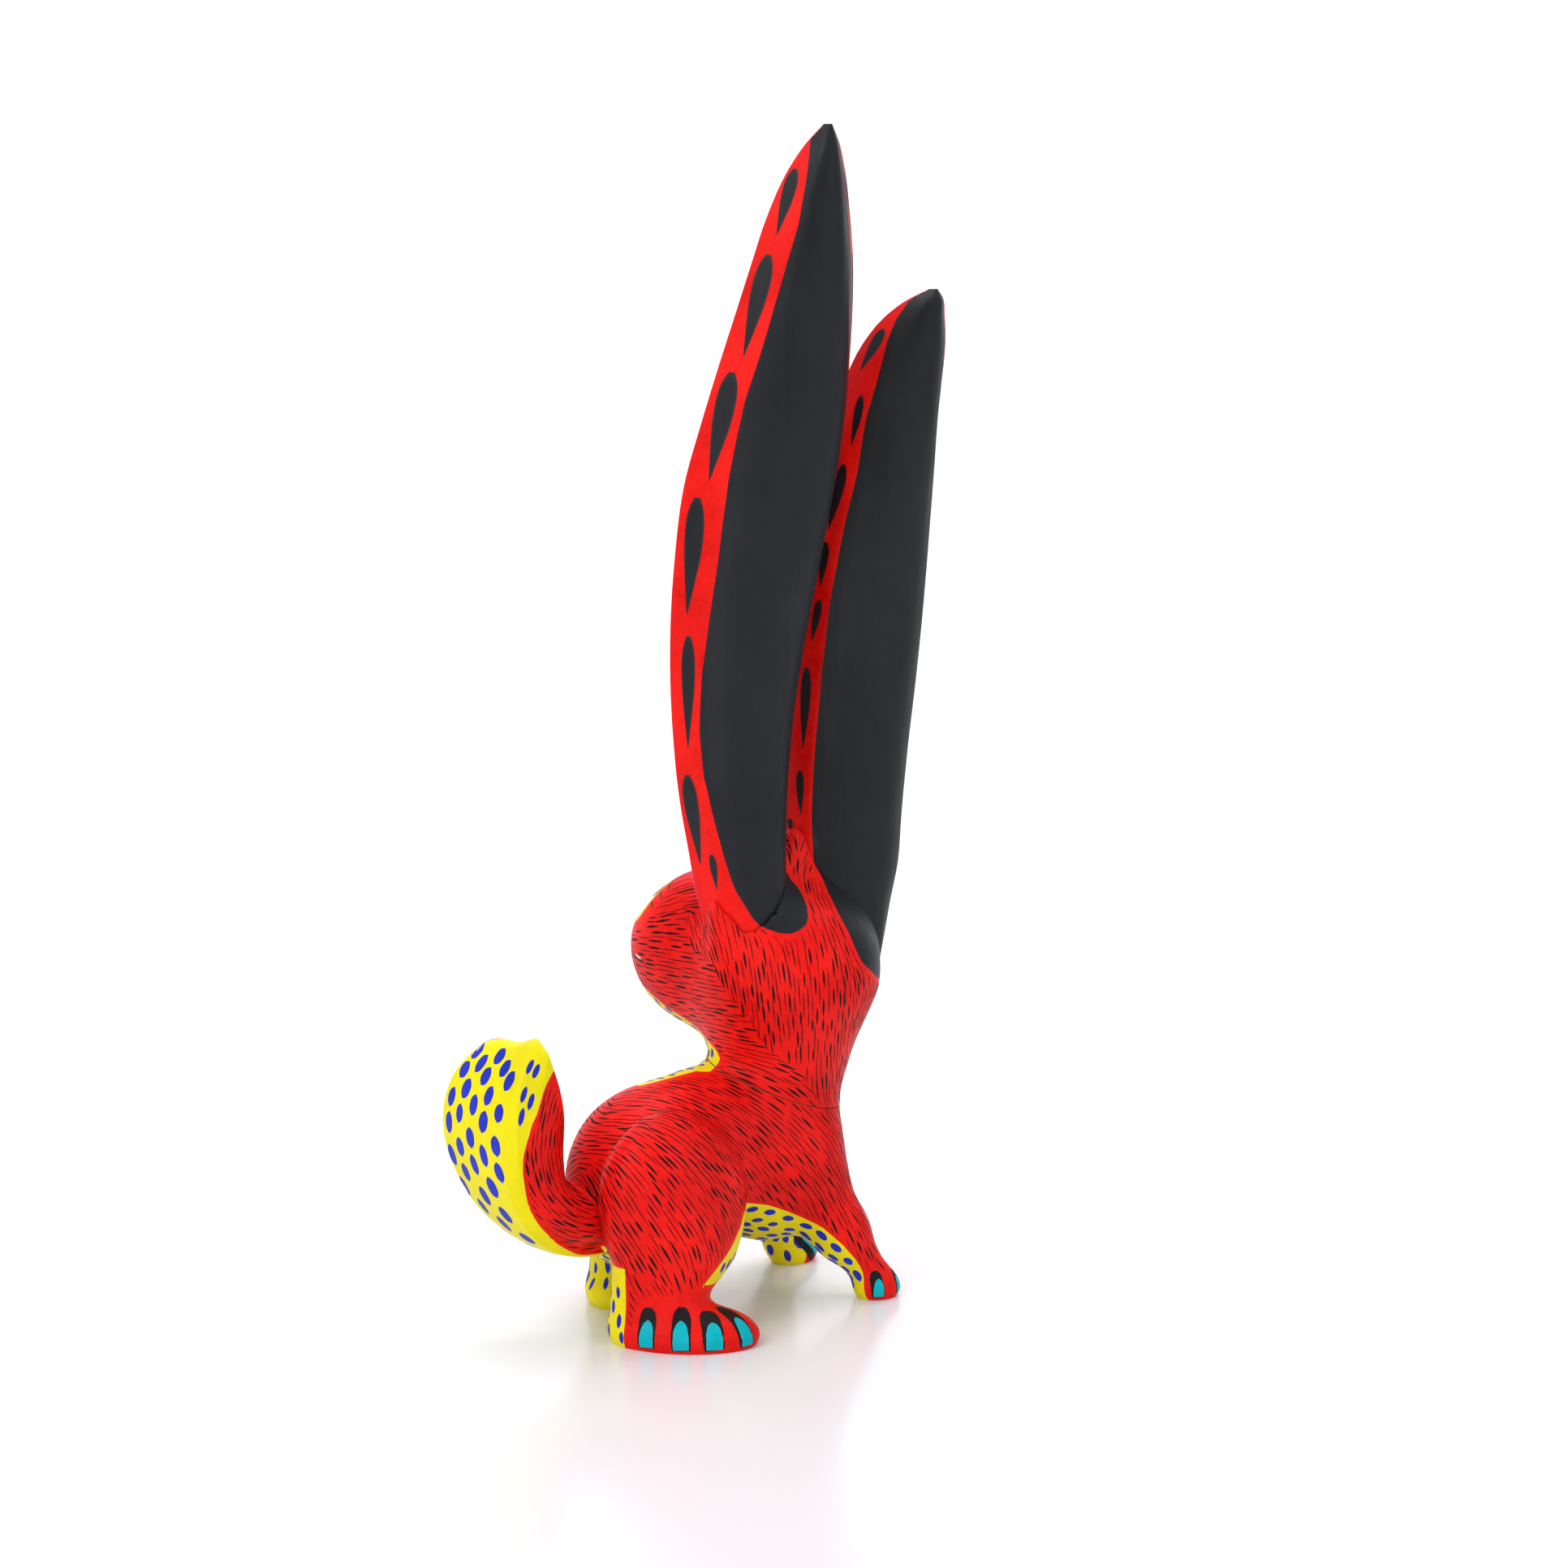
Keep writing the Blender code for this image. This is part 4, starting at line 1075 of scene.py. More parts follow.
def scatter(co, tri, wanted, flow, candidates, along, across, tree):
    """Evenly staggered seeds: no two closer than one stroke's own footprint."""
    m = middles(co, tri)
    area = np.linalg.norm(np.cross(co[tri[:, 1]] - co[tri[:, 0]], co[tri[:, 2]] - co[tri[:, 0]]), axis=1) * wanted(m)
    pick = rng.choice(len(tri), candidates, p=area / area.sum())
    r1, r2 = np.sqrt(rng.random(candidates)), rng.random(candidates)
    t = co[tri[pick]]
    p = t[:, 0] * (1 - r1)[:, None] + t[:, 1] * (r1 * (1 - r2))[:, None] + t[:, 2] * (r1 * r2)[:, None]
    k = facing(co, tri[pick])
    d = flow(p, k)
    cells, chosen = {}, []
    keys = np.floor(p / along).astype(int)
    around = [(x, y, z) for x in (-1, 0, 1) for y in (-1, 0, 1) for z in (-1, 0, 1)]
    for i in range(candidates):
        kx, ky, kz = keys[i]
        near = [j for x, y, z in around for j in cells.get((kx + x, ky + y, kz + z), ())]
        if near:
            q = p[near] - p[i]
            a = q @ d[i]
            b2 = (q * q).sum(1) - a * a
            if ((a / along) ** 2 + b2 / across ** 2).min() < 1.0:
                continue
        cells.setdefault((kx, ky, kz), []).append(i)
        chosen.append(i)
    return p[chosen], k[chosen], d[chosen]


def follow(tree, seeds, normals, flow, length, half_steps):
    """Centre lines traced both ways from each seed along the brush direction."""
    step = (length / (2 * half_steps))[:, None]
    sides = []
    for sign in (1.0, -1.0):
        p, k = seeds.copy(), normals.copy()
        d = flow(p, k) * sign
        line = []
        for _ in range(half_steps):
            p, k, away = nearest(tree, p + d * step)
            d = flow(p, k, d)
            line.append((p, k, d * sign, away))
        sides.append(line)
    rows = [sides[1][i] for i in range(half_steps - 1, -1, -1)] + [(seeds, normals, flow(seeds, normals), np.zeros(len(seeds)))] + sides[0]
    centre, k, d, away = (np.stack([r[i] for r in rows], 1) for i in range(4))
    d = d * np.where((d * d[:, half_steps:half_steps + 1]).sum(2) < 0, -1.0, 1.0)[..., None]
    return centre, k, d, away


def brushed(coat, tree, seeds, normals, flow, length, width, allowed, half_steps=3, wide=2, lift=0.05, head=0.42):
    """Tapered brush strokes along the flow, shortened where they would leave their own ground."""
    centre, k, d, away = follow(tree, seeds, normals, flow, length, half_steps)
    rows = centre.shape[1]
    ok = (allowed(centre.reshape(-1, 3)).reshape(centre.shape[:2])) & (away < 0.7)
    ok &= (k * k[:, half_steps:half_steps + 1]).sum(2) > 0.35
    first, last = np.full(len(seeds), half_steps), np.full(len(seeds), half_steps)
    for j in range(half_steps - 1, -1, -1):
        first = np.where((first == j + 1) & ok[:, j], j, first)
    for j in range(half_steps + 1, rows):
        last = np.where((last == j - 1) & ok[:, j], j, last)
    keep = ok[:, half_steps] & (last - first >= 3)
    centre, k, d, first, last, width = centre[keep], k[keep], d[keep], first[keep], last[keep], width[keep]
    t = np.linspace(0, 1, rows)
    at = first[:, None] + (last - first)[:, None] * t
    i = np.minimum(at.astype(int), rows - 2)
    w = (at - i)[..., None]
    pick = np.arange(len(centre))[:, None]
    centre = centre[pick, i] * (1 - w) + centre[pick, i + 1] * w
    k = k[pick, i] * (1 - w) + k[pick, i + 1] * w
    d = d[pick, i] * (1 - w) + d[pick, i + 1] * w
    shape = np.where(t < head, 0.12 + 0.88 * np.sin(np.clip(t / head, 0, 1) * math.pi / 2), 0.10 + 0.90 * np.cos(np.clip((t - head) / (1 - head), 0, 1) * math.pi / 2) ** 0.8)
    short = np.clip((last - first) / (rows - 1), 0.5, 1)
    top, under, far = swath(tree, centre, k, d, 0.5 * width[:, None] * shape[None] * short[:, None], wide, lift)
    fine = far.reshape(len(far), wide * rows).max(1) < 0.8
    coat.add(top[fine], under[fine])
    return int(fine.sum())


def patch(coat, tree, ends, widths, lift, wide=7, rows=9, path=None):
    """One broad shape of paint from the first end to the last, with half widths read along it."""
    line = np.array(path if path is not None else ends, float)
    run = np.concatenate([[0], np.cumsum(np.linalg.norm(np.diff(line, axis=0), axis=1))])
    at = np.linspace(0, 1, rows)
    centre = np.stack([np.interp(at * run[-1], run, line[:, i]) for i in range(3)], 1)
    centre, k, _ = nearest(tree, centre)
    d = np.gradient(centre, axis=0)
    d /= np.maximum(np.linalg.norm(d, axis=1), 1e-9)[:, None]
    w = np.interp(at, np.linspace(0, 1, len(widths)), widths)
    top, under, _ = swath(tree, centre[None], k[None], d[None], w[None], wide, lift)
    coat.add(top, under)


STROKES = (
    "-30 -4 81 0.56 -0.82 -0.06, -19 -10 80 0.65 -0.74 -0.2, -8 -14 80 0.56 -0.76 -0.34, "
    "-45 -4 77 -0.65 0.75 -0.09, -36 -12 77 0.64 -0.75 -0.19, -17 -17 75 0.66 -0.58 -0.48, "
    "-4 -20 74 0.63 -0.57 -0.53, -49 -10 73 0.56 -0.83 0.02, -45 -25 75 0.65 -0.68 -0.34, "
    "-30 -24 72 0.52 -0.68 -0.52, -20 -21 70 0.75 -0.14 -0.65, 7 -25 67 0.66 -0.23 -0.72, "
    "22 -24 64 0.64 0.13 -0.75, -58 -2 66 -0.3 0.94 -0.18, -56 -9 68 0.38 -0.92 -0.01, "
    "-58 -23 71 0.07 -1.0 -0.02, -48 -30 71 0.67 -0.54 -0.51, -25 -28 66 0.63 -0.22 -0.74, "
    "-15 -24 64 0.62 -0.27 -0.74, -8 -25 63 0.6 -0.29 -0.75, -1 -26 62 0.67 -0.16 -0.73, "
    "13 -27 60 0.51 -0.31 -0.8, -63 -20 65 -0.0 -1.0 -0.09, -56 -30 66 0.49 -0.62 -0.62, "
    "-44 -34 65 0.63 -0.33 -0.7, -37 -34 64 0.72 -0.19 -0.67, 5 -28 56 0.57 -0.25 -0.78, "
    "19 -29 53 0.57 0.07 -0.82, -62 -29 60 0.33 -0.6 -0.72, -51 -34 60 0.52 -0.31 -0.79, "
    "-30 -35 57 0.67 0.01 -0.74, -19 -30 54 0.65 0.3 -0.7, -8 -26 51 0.66 0.07 -0.75, "
    "-2 -26 50 0.63 -0.08 -0.78, 12 -29 48 0.62 0.0 -0.78, -63 -10 50 -0.07 -0.83 -0.56, "
    "-66 -25 54 0.1 -0.65 -0.75, -58 -33 55 0.49 -0.39 -0.78, -46 -37 54 0.51 -0.2 -0.84, "
    "-39 -37 52 0.58 -0.12 -0.8, -8 -24 44 0.64 0.26 -0.72, -1 -25 43 0.66 0.12 -0.74, "
    "28 -28 39 0.44 -0.14 -0.89, -63 -30 49 0.4 -0.34 -0.85, -53 -36 48 0.46 -0.24 -0.85, "
    "-32 -38 45 0.54 -0.02 -0.84, -22 -33 43 0.53 0.28 -0.8, 20 -28 34 0.55 0.1 -0.83, "
    "-67 -25 42 0.33 -0.51 -0.79, -58 -34 43 0.43 -0.3 -0.85, -47 -39 42 0.41 -0.31 -0.85, "
    "26 -30 28 0.43 -0.01 -0.9, -63 -30 37 0.44 -0.31 -0.84, -54 -37 37 0.38 -0.33 -0.86, "
    "-34 -40 34 0.21 0.02 -0.98, 33 -31 20 0.47 0.14 -0.87, -42 21 15 0.23 -0.66 -0.72, "
    "-63 -20 28 0.44 -0.05 -0.9, -58 -33 30 0.48 -0.13 -0.87, -42 -40 29 0.27 0.19 -0.94, "
    "-60 -25 23 0.46 0.02 -0.89, -57 -31 24 0.55 -0.05 -0.84, -47 -38 24 0.32 0.12 -0.94, "
    "-36 10 4 0.56 -0.1 -0.82, -56 -30 17 0.44 -0.5 -0.75, -58 -23 10 -0.5 -0.8 -0.33, "
    "-48 -39 12 -0.05 -0.68 -0.73, -36 -43 11 -0.19 -0.91 -0.37, -54 -38 7 -0.33 -0.43 -0.84, "
    "-4 22 141 -0.5 0.79 -0.36, 23 -14 143 -0.35 -0.89 -0.28, -10 24 135 -0.32 0.84 -0.43, "
    "-8 16 136 -0.43 0.83 -0.35, 9 -22 140 -0.12 -0.73 -0.67, 16 -23 140 -0.25 -0.78 -0.57, "
    "23 -24 139 -0.24 -0.83 -0.49, -13 30 128 -0.0 -0.99 0.16, -10 13 131 -0.24 -0.6 -0.76, "
    "-10 2 132 -0.51 -0.84 -0.18, 0 -24 135 0.59 -0.7 -0.41, 18 -30 134 -0.08 -0.71 -0.7, "
    "37 -25 131 -0.34 -0.76 -0.56, -13 19 124 0.19 -0.98 0.04, -14 -3 128 -0.28 -0.7 -0.66, "
    "-14 -14 129 0.1 -0.22 -0.97, 9 -32 130 -0.15 -0.55 -0.82, 22 -34 128 0.18 -0.5 -0.85, "
    "-15 28 116 0.05 -1.0 0.05, -13 9 119 -0.01 -1.0 0.07, -7 -24 124 -0.02 -0.26 -0.96, "
    "2 -31 124 -0.04 -0.34 -0.94, 14 -36 124 -0.11 -0.38 -0.92, 29 -35 121 0.67 0.1 -0.74, "
    "-13 19 111 0.15 -0.99 0.02, -14 -3 115 -0.06 -0.99 0.09, -11 -19 118 0.12 -0.13 -0.98, "
    "7 -35 118 0.03 -0.06 -1.0, -12 22 104 0.17 -0.98 -0.05, -11 11 106 0.01 -1.0 0.07, "
    "-13 -1 109 -0.13 -0.98 0.14, -13 -12 110 0.21 -0.98 -0.02, -3 -29 112 0.14 -0.0 -0.99, "
    "13 -37 112 0.09 0.11 -0.99, 20 -38 111 0.14 0.18 -0.97, -8 16 99 -0.01 -1.0 0.07, "
    "-10 2 101 -0.11 -0.99 0.12, -11 -9 104 0.11 -0.99 0.09, -6 -23 106 0.28 0.17 -0.94, "
    "2 -31 106 0.23 0.23 -0.94, 14 -36 105 0.18 0.28 -0.94, 22 -35 104 0.3 0.41 -0.86, "
    "-6 8 94 -0.28 -0.95 0.12, -9 -5 96 0.04 -1.0 0.03, -7 -14 98 0.33 -0.93 -0.13, -1 -25 99 0.31 0.23 -0.92, "
    "9 -32 99 0.25 0.37 -0.9, 24 -32 97 0.36 0.48 -0.8, -7 -3 90 0.12 -0.99 0.02, -6 -12 91 0.39 -0.92 -0.06, "
    "1 -23 92 0.32 0.2 -0.93, 11 -29 92 0.26 0.35 -0.9, 18 -30 91 0.23 0.36 -0.9, 28 -26 89 0.35 0.53 -0.77, "
    "-2 -17 85 0.63 -0.74 -0.24, 13 -27 85 0.26 0.28 -0.93, 21 -27 84 0.16 0.29 -0.94, "
    "2 -21 79 0.73 -0.46 -0.51, 22 -24 77 0.28 0.31 -0.91, 15 -25 72 0.75 -0.02 -0.66")

flow = guide_flow("".join(STROKES), field_normals)


def furry(p):
    """Where red fur strokes may lie on the body."""
    across, side, z, x = zone_place(p)
    clear = (np.maximum(underside(p), bib(p)) < -0.7) & (z > 1.5)
    hind_foot = (x < -18) & (side > 8) & (z < np.interp(x, (-64, -56, -46, -38, -26), (15.5, 17.0, 18.6, 19.5, 17.0)))
    hind_foot &= ~((x < -57) & (side < 27))
    fore_foot = (x > 27) & (z < 10.0)
    return clear & ~hind_foot & ~fore_foot & (np.abs(block_field(p)) < 0.3)


def furry_head(p):
    f, l, z = head_place(p)
    clear = (bib(p) < -0.7) & (near_lobe(p) < -0.9) & (far_lobe(p) < -0.9) & (np.abs(block_field(p)) < 0.3)
    muzzle = (f > 44) & (np.abs(l) < 12)
    between = (p[:, 2] > 166)
    eyes = np.zeros(len(p), bool)
    for side in (1, -1):
        c = HEAD + 37.0 * FACE + side * 10.5 * CHEEK + 133.0 * UP
        eyes |= np.linalg.norm(p - c, axis=1) < 10.5
    return clear & ~muzzle & ~between & ~eyes


bold, thin = Coat(), Coat()
head_bold, head_thin = Coat(), Coat()
few = 1.0
for co, tri, tree, ok, coats, number in ((body_co, body_tri, body_tree, furry, (bold, thin), 60000), (head_co, head_tri, head_tree, furry_head, (head_bold, head_thin), 40000)):
    p, k, d = scatter(co, tri, ok, flow, int(number * few), 7.2, 1.42, tree)
    heavy = rng.random(len(p)) < 0.42
    for mask, coat, length, width, wide in ((heavy, coats[0], (5.2, 8.8), (0.58, 0.90), 2), (~heavy, coats[1], (6.5, 12.0), (0.30, 0.46), 2)):
        size = rng.random(mask.sum())
        brushed(coat, tree, p[mask], k[mask], flow, length[0] + (length[1] - length[0]) * size, width[0] + (width[1] - width[0]) * rng.random(mask.sum()), ok, wide=wide)
bold.make("body_fur_bold", dark_stroke, "figure", "red_paint")
thin.make("body_fur_thin", thin_stroke, "figure", "red_paint")
head_bold.make("head_fur_bold", dark_stroke, "figure", "red_paint")
head_thin.make("head_fur_thin", thin_stroke, "figure", "red_paint")


# tail fur runs up the tail, ovals cover its rear face
def tail_flow(p, m, before=None):
    d = tail_place(p)[3]
    d = d - (d * m).sum(1)[:, None] * m
    d /= np.maximum(np.linalg.norm(d, axis=1), 1e-9)[:, None]
    if before is not None:
        d = np.where((d * before).sum(1)[:, None] < 0, -d, d)
    return d


def tail_red(p):
    away = (p - TAIL_POINT) @ unit(TAIL_NORMAL)
    return (tail_yellow(p) < -0.7) & (away > 0.8)


tail_bold, tail_thin = Coat(), Coat()
p, k, d = scatter(tail_co, tail_tri, tail_red, tail_flow, int(14000 * few), 7.2, 1.42, tail_tree)
heavy = rng.random(len(p)) < 0.42
for mask, coat, length, width, wide in ((heavy, tail_bold, (5.2, 8.6), (0.6, 0.95), 2), (~heavy, tail_thin, (6.5, 12.0), (0.30, 0.45), 2)):
    brushed(coat, tail_tree, p[mask], k[mask], tail_flow, length[0] + (length[1] - length[0]) * rng.random(mask.sum()), width[0] + (width[1] - width[0]) * rng.random(mask.sum()), tail_red, wide=wide)
tail_bold.make("tail_fur_bold", dark_stroke, "figure", "red_paint")
tail_thin.make("tail_fur_thin", thin_stroke, "figure", "red_paint")

OVAL = [0.06, 0.62, 0.88, 0.98, 1.0, 0.98, 0.88, 0.62, 0.06]
ovals = Coat()
run = tail_at - tail_at[0]


def tail_oval(i, s, h, long_, broad, lean):
    x, y, z, half, thick, face, full, station = tail_rows[i]
    back = np.cross(TAIL_SIDE, tail_ahead[i])
    back /= np.linalg.norm(back)
    at = np.array([x, y, z]) + s * half * TAIL_SIDE + h * thick * back + tail_rise(s, z, h) * UP
    if (at - TAIL_POINT) @ unit(TAIL_NORMAL) < 3.0:
        return
    way = tail_ahead[i] - lean * TAIL_SIDE
    way /= np.linalg.norm(way)
    patch(ovals, tail_tree, None, [broad * 0.5 * v for v in OVAL], 0.06, wide=5, path=[at - way * long_ * 0.5, at, at + way * long_ * 0.5])


for column in range(-6, 7):
    for row in range(0, 18):
        t = 10.0 + 8.8 * (row + (0.5 if column % 2 else 0.0)) + rng.uniform(-0.7, 0.7)
        i = int(np.clip(np.searchsorted(run, t), 1, len(run) - 2))
        x, y, z, half, thick, face, full, station = tail_rows[i]
        s_ = column * 7.0 + rng.uniform(-0.5, 0.5)
        p0, p1, p2 = near_corner(station, face)
        if s_ < p1[0] * half + (5.8 if station < 6.9 else 3.0) or s_ > face * half - 2.8 or run[-1] - t < 4.6:
            continue
        tail_oval(i, s_ / half, -1.05, rng.uniform(6.6, 7.9), rng.uniform(4.1, 5.2), rng.uniform(-0.08, 0.08) - (0.14 * (z - 78) / 24 if z > 78 else 0.10))
for column in range(0, 3):
    for row in range(0, 30):
        t = 40.0 + 6.4 * (row + (0.5 if column % 2 else 0.0)) + rng.uniform(-0.6, 0.6)
        i = int(np.clip(np.searchsorted(run, t), 1, len(run) - 2))
        x, y, z, half, thick, face, full, station = tail_rows[i]
        p0, p1, p2 = near_corner(station, face)
        wide_ = math.hypot((p1[0] - p0[0]) * half, (p1[1] - p0[1]) * thick)
        if run[-1] - t < 4.0 or wide_ < 2.4 + 2.6 * column or station < 6.4:
            continue
        at_ = (1.4 + 2.7 * column) / wide_
        tail_oval(i, p1[0] + (p0[0] - p1[0]) * at_, p1[1] + (p0[1] - p1[1]) * at_, rng.uniform(5.2, 6.6), rng.uniform(1.6, 2.1), rng.uniform(-0.05, 0.05))
ovals.make("tail_ovals", blue_paint, "figure", "red_paint")


# ovals on the underside, insides of the legs and throat
def oval_way(p):
    across, side, z, x = zone_place(p)
    sign = np.where(p[:, 1] < 0, -1.0, 1.0)
    leg = np.stack([np.full(len(p), 0.50), sign * 0.2, np.full(len(p), -0.84)], 1)
    belly = np.stack([np.full(len(p), 0.92), np.zeros(len(p)), np.full(len(p), -0.36)], 1)
    hind = np.stack([np.full(len(p), 0.12), np.zeros(len(p)), np.full(len(p), -1.0)], 1)
    fore = np.clip((x - 14.0) / 10.0, 0, 1)[:, None]
    rear = np.clip((-16.0 - x) / 10.0, 0, 1)[:, None] * np.clip((34.0 - z) / 6.0, 0, 1)[:, None]
    return belly * (1 - fore) * (1 - rear) + leg * fore + hind * rear


def belly_flow(p, m, before=None):
    d = oval_way(p)
    d = d - (d * m).sum(1)[:, None] * m
    d /= np.maximum(np.linalg.norm(d, axis=1), 1e-9)[:, None]
    return d if before is None else np.where((d * before).sum(1)[:, None] < 0, -d, d)


def bib_flow(p, m, before=None):
    d = np.tile(0.55 * FACE + 0.55 * UP, (len(p), 1))
    d = d - (d * m).sum(1)[:, None] * m
    d /= np.maximum(np.linalg.norm(d, axis=1), 1e-9)[:, None]
    return d if before is None else np.where((d * before).sum(1)[:, None] < 0, -d, d)


def inner_leg(p):
    """True on the side of a fore leg that faces the other one."""
    return (p[:, 0] > 14) & (p[:, 2] < 27) & (np.abs(p[:, 1]) < np.interp(p[:, 2], (4.0, 9.0, 24.0), (25.0, 24.6, 19.5)))


def inside_yellow(zone, margin):
    def test(p):
        return ((zone is bib) | (p[:, 0] < -9) | (row_gap(p) > 9.4) | inner_leg(p)) & (zone(p) > margin) & (p[:, 2] > 1.6) & (np.abs(block_field(p)) < 0.3)
    return test


TOP_EDGE = UNDERSIDE[4:15]


def row_gap(p):
    """Distance below the upper paint edge of the belly and foreleg."""
    across, side, z, x = zone_place(p)
    q = np.stack([across, z], 1)
    best = np.full(len(q), 1e9)
    for a, b in zip(np.array(TOP_EDGE[:-1]), np.array(TOP_EDGE[1:])):
        t = np.clip(((q - a) @ (b - a)) / ((b - a) @ (b - a)), 0, 1)
        best = np.minimum(best, np.linalg.norm(q - a - t[:, None] * (b - a), axis=1))
    return best


spots = Coat()
# two tidy rows follow the upper edge on each flank
edge_line = np.array(TOP_EDGE, float)
edge_run = np.concatenate([[0], np.cumsum(np.linalg.norm(np.diff(edge_line, axis=0), axis=1))])
for mirror in (1.0, -1.0):
    for depth_, offset, broad in ((2.5, 3.4, 1.35), (6.9, 6.6, 1.2)):
        t = offset
        while t < edge_run[-1] - 2.0:
            t0, t1 = max(t - 2.0, 0.0), min(t + 2.0, edge_run[-1])
            q0, q1, q = (np.array([np.interp(v_, edge_run, edge_line[:, 0]), np.interp(v_, edge_run, edge_line[:, 1])]) for v_ in (t0, t1, t))
            along_ = (q1 - q0) / np.linalg.norm(q1 - q0)
            q = q + (depth_ if depth_ < 4 else np.interp(t / edge_run[-1], (0.45, 0.70), (depth_, 5.2))) * np.array([along_[1], -along_[0]])
            flip = np.array([1.0, mirror, 1.0])
            start = (q[0] * ACROSS - 90.0 * DEPTH + q[1] * UP) * flip
            hit, norm, face_index, reach_ = body_tree.ray_cast(Vector(start), Vector(DEPTH * flip))
            t += rng.uniform(6.6, 7.4)
            if hit is None or q[1] < 3.4:
                continue
            way_ = (along_[0] * ACROSS + along_[1] * UP) * flip
            long_ = rng.uniform(4.4, 5.4) * 0.5
            if underside(np.array([hit]))[0] < 1.2:
                continue
            patch(spots, body_tree, None, [broad * v for v in (0.06, 0.62, 0.88, 0.98, 1.0, 0.98, 0.88, 0.62, 0.06)], 0.06, wide=5, path=[np.array(hit) - way_ * long_, np.array(hit), np.array(hit) + way_ * long_])
for co, tri, tree, zone, way, number in ((body_co, body_tri, body_tree, underside, belly_flow, 5000), (body_co, body_tri, body_tree, bib, bib_flow, 1500), (head_co, head_tri, head_tree, bib, bib_flow, 5000)):
    throat = zone is bib
    ok = inside_yellow(zone, 0.55 if throat else 1.0)
    p, k, d = scatter(co, tri, ok, way, number, 5.2 if throat else 5.9, 2.9 if throat else 3.4, tree)
    leg = np.zeros(len(p), bool) if throat else (p[:, 0] < -36) & (p[:, 2] < 30)
    extent = np.where(leg, rng.uniform(4.2, 5.4, len(p)), rng.uniform(3.2, 4.2, len(p)) if throat else rng.uniform(4.2, 5.3, len(p)))
    centre = p[:, None] + d[:, None] * (np.linspace(-0.5, 0.5, 7)[None, :, None] * extent[:, None, None])
    hit, norm, away = nearest(tree, centre.reshape(-1, 3))
    hit, norm, away = hit.reshape(centre.shape), norm.reshape(centre.shape), away.reshape(centre.shape[:2])
    good = (zone(hit.reshape(-1, 3)).reshape(away.shape) > (0.1 if throat else 0.5)).all(1) & (away.max(1) < 0.6) & (hit[:, :, 2].min(1) > 0.8)
    hit, norm, d, leg = hit[good], norm[good], d[good], leg[good]
    width = np.where(leg, rng.uniform(0.85, 1.05, len(hit)), rng.uniform(0.7, 0.95, len(hit)) if throat else rng.uniform(1.15, 1.4, len(hit)))[:, None] * np.array([0.06, 0.70, 0.95, 1.0, 0.95, 0.70, 0.06])[None]
    top, under, far = swath(tree, hit, norm, np.repeat(d[:, None], 7, 1), width, 5, 0.06)
    spots.add(top, under)
spots.make("underside_ovals", blue_paint, "figure", "red_paint")

# claws: black hoods with turquoise nails over them
hoods, nails = Coat(), Coat()
HOOD = [0.92, 1.0, 1.02, 1.02, 1.02, 1.0, 1.0, 0.97, 0.90, 0.76, 0.40]
NAIL = [0.96, 1.0, 1.01, 1.0, 0.97, 0.92, 0.84, 0.72, 0.54, 0.12]


def claw(foot, top, nail_top, half, nail_half, nail_foot=None):
    foot, top, nail_top = np.array(foot, float), np.array(top, float), np.array(nail_top, float)
    patch(hoods, body_tree, None, [half * v for v in HOOD], 0.11, wide=11, rows=19, path=[foot, foot * 0.5 + top * 0.5, top])
    base = np.array(nail_foot, float) if nail_foot is not None else foot + (top - foot) * 0.03
    patch(nails, body_tree, None, [nail_half * v for v in NAIL], 0.20, wide=11, rows=19, path=[base, base * 0.5 + nail_top * 0.5, nail_top])


HIND_CLAWS = (((-59.6, -32.4, 1.3), (-56.4, -29.6, 14.2), (-57.4, -30.6, 10.2), 3.0, 2.45), ((-52.2, -41.8, 1.2), (-48.0, -36.5, 14.4), (-49.9, -38.6, 10.6), 3.2, 2.65),
              ((-43.0, -48.2, 1.2), (-40.0, -39.4, 12.9), (-41.2, -44.2, 9.6), 3.5, 2.8), ((-31.2, -50.4, 1.4), (-34.0, -37.4, 12.4), (-32.4, -44.6, 9.6), 2.9, 2.25))
for foot, top, nail_top, half, nail_half in HIND_CLAWS:
    claw(foot, top, nail_top, half, nail_half)
# the left hind foot carries the same four, carried over by its own turn
ca, sa = math.cos(math.radians(-18)), math.sin(math.radians(-18))
for foot, top, nail_top, half, nail_half in HIND_CLAWS:
    placed = []
    for q in (foot, top, nail_top):
        rx, ry = q[0] + 42.0, -(q[1] + 30.8)
        placed.append((-24.0 + rx * ca - ry * sa, 25.0 + rx * sa + ry * ca, q[2]))
    claw(*placed, half, nail_half)
for side in (-1.0, 1.0):
    if side < 0:
        specs = (((37.2, -33.6, 1.0), (36.4, -31.6, 10.6), (37.2, -33.0, 7.9), 2.35, 1.85), ((46.6, -33.0, 1.0), (44.6, -30.4, 9.6), (45.6, -32.0, 7.4), 1.7, 1.3),
                 ((48.8, -27.2, 1.0), (46.6, -26.6, 8.6), (47.8, -27.0, 6.8), 1.7, 1.3))
    else:
        specs = (((49.6, 18.0, 1.4), (40.8, 19.2, 12.4), (44.6, 18.8, 10.2), 2.5, 1.6, (51.0, 19.4, 3.0)), ((54.0, 24.6, 0.9), (51.2, 25.0, 8.6), (53.0, 24.8, 6.6), 2.2, 1.7), ((49.0, 31.0, 0.9), (46.6, 29.6, 8.8), (48.2, 30.6, 6.8), 2.2, 1.7))
    for spec in specs:
        claw(*spec)
hoods.make("claw_hoods", claw_black, "figure", "red_paint")
nails.make("claw_nails", turquoise, "figure", "red_paint")

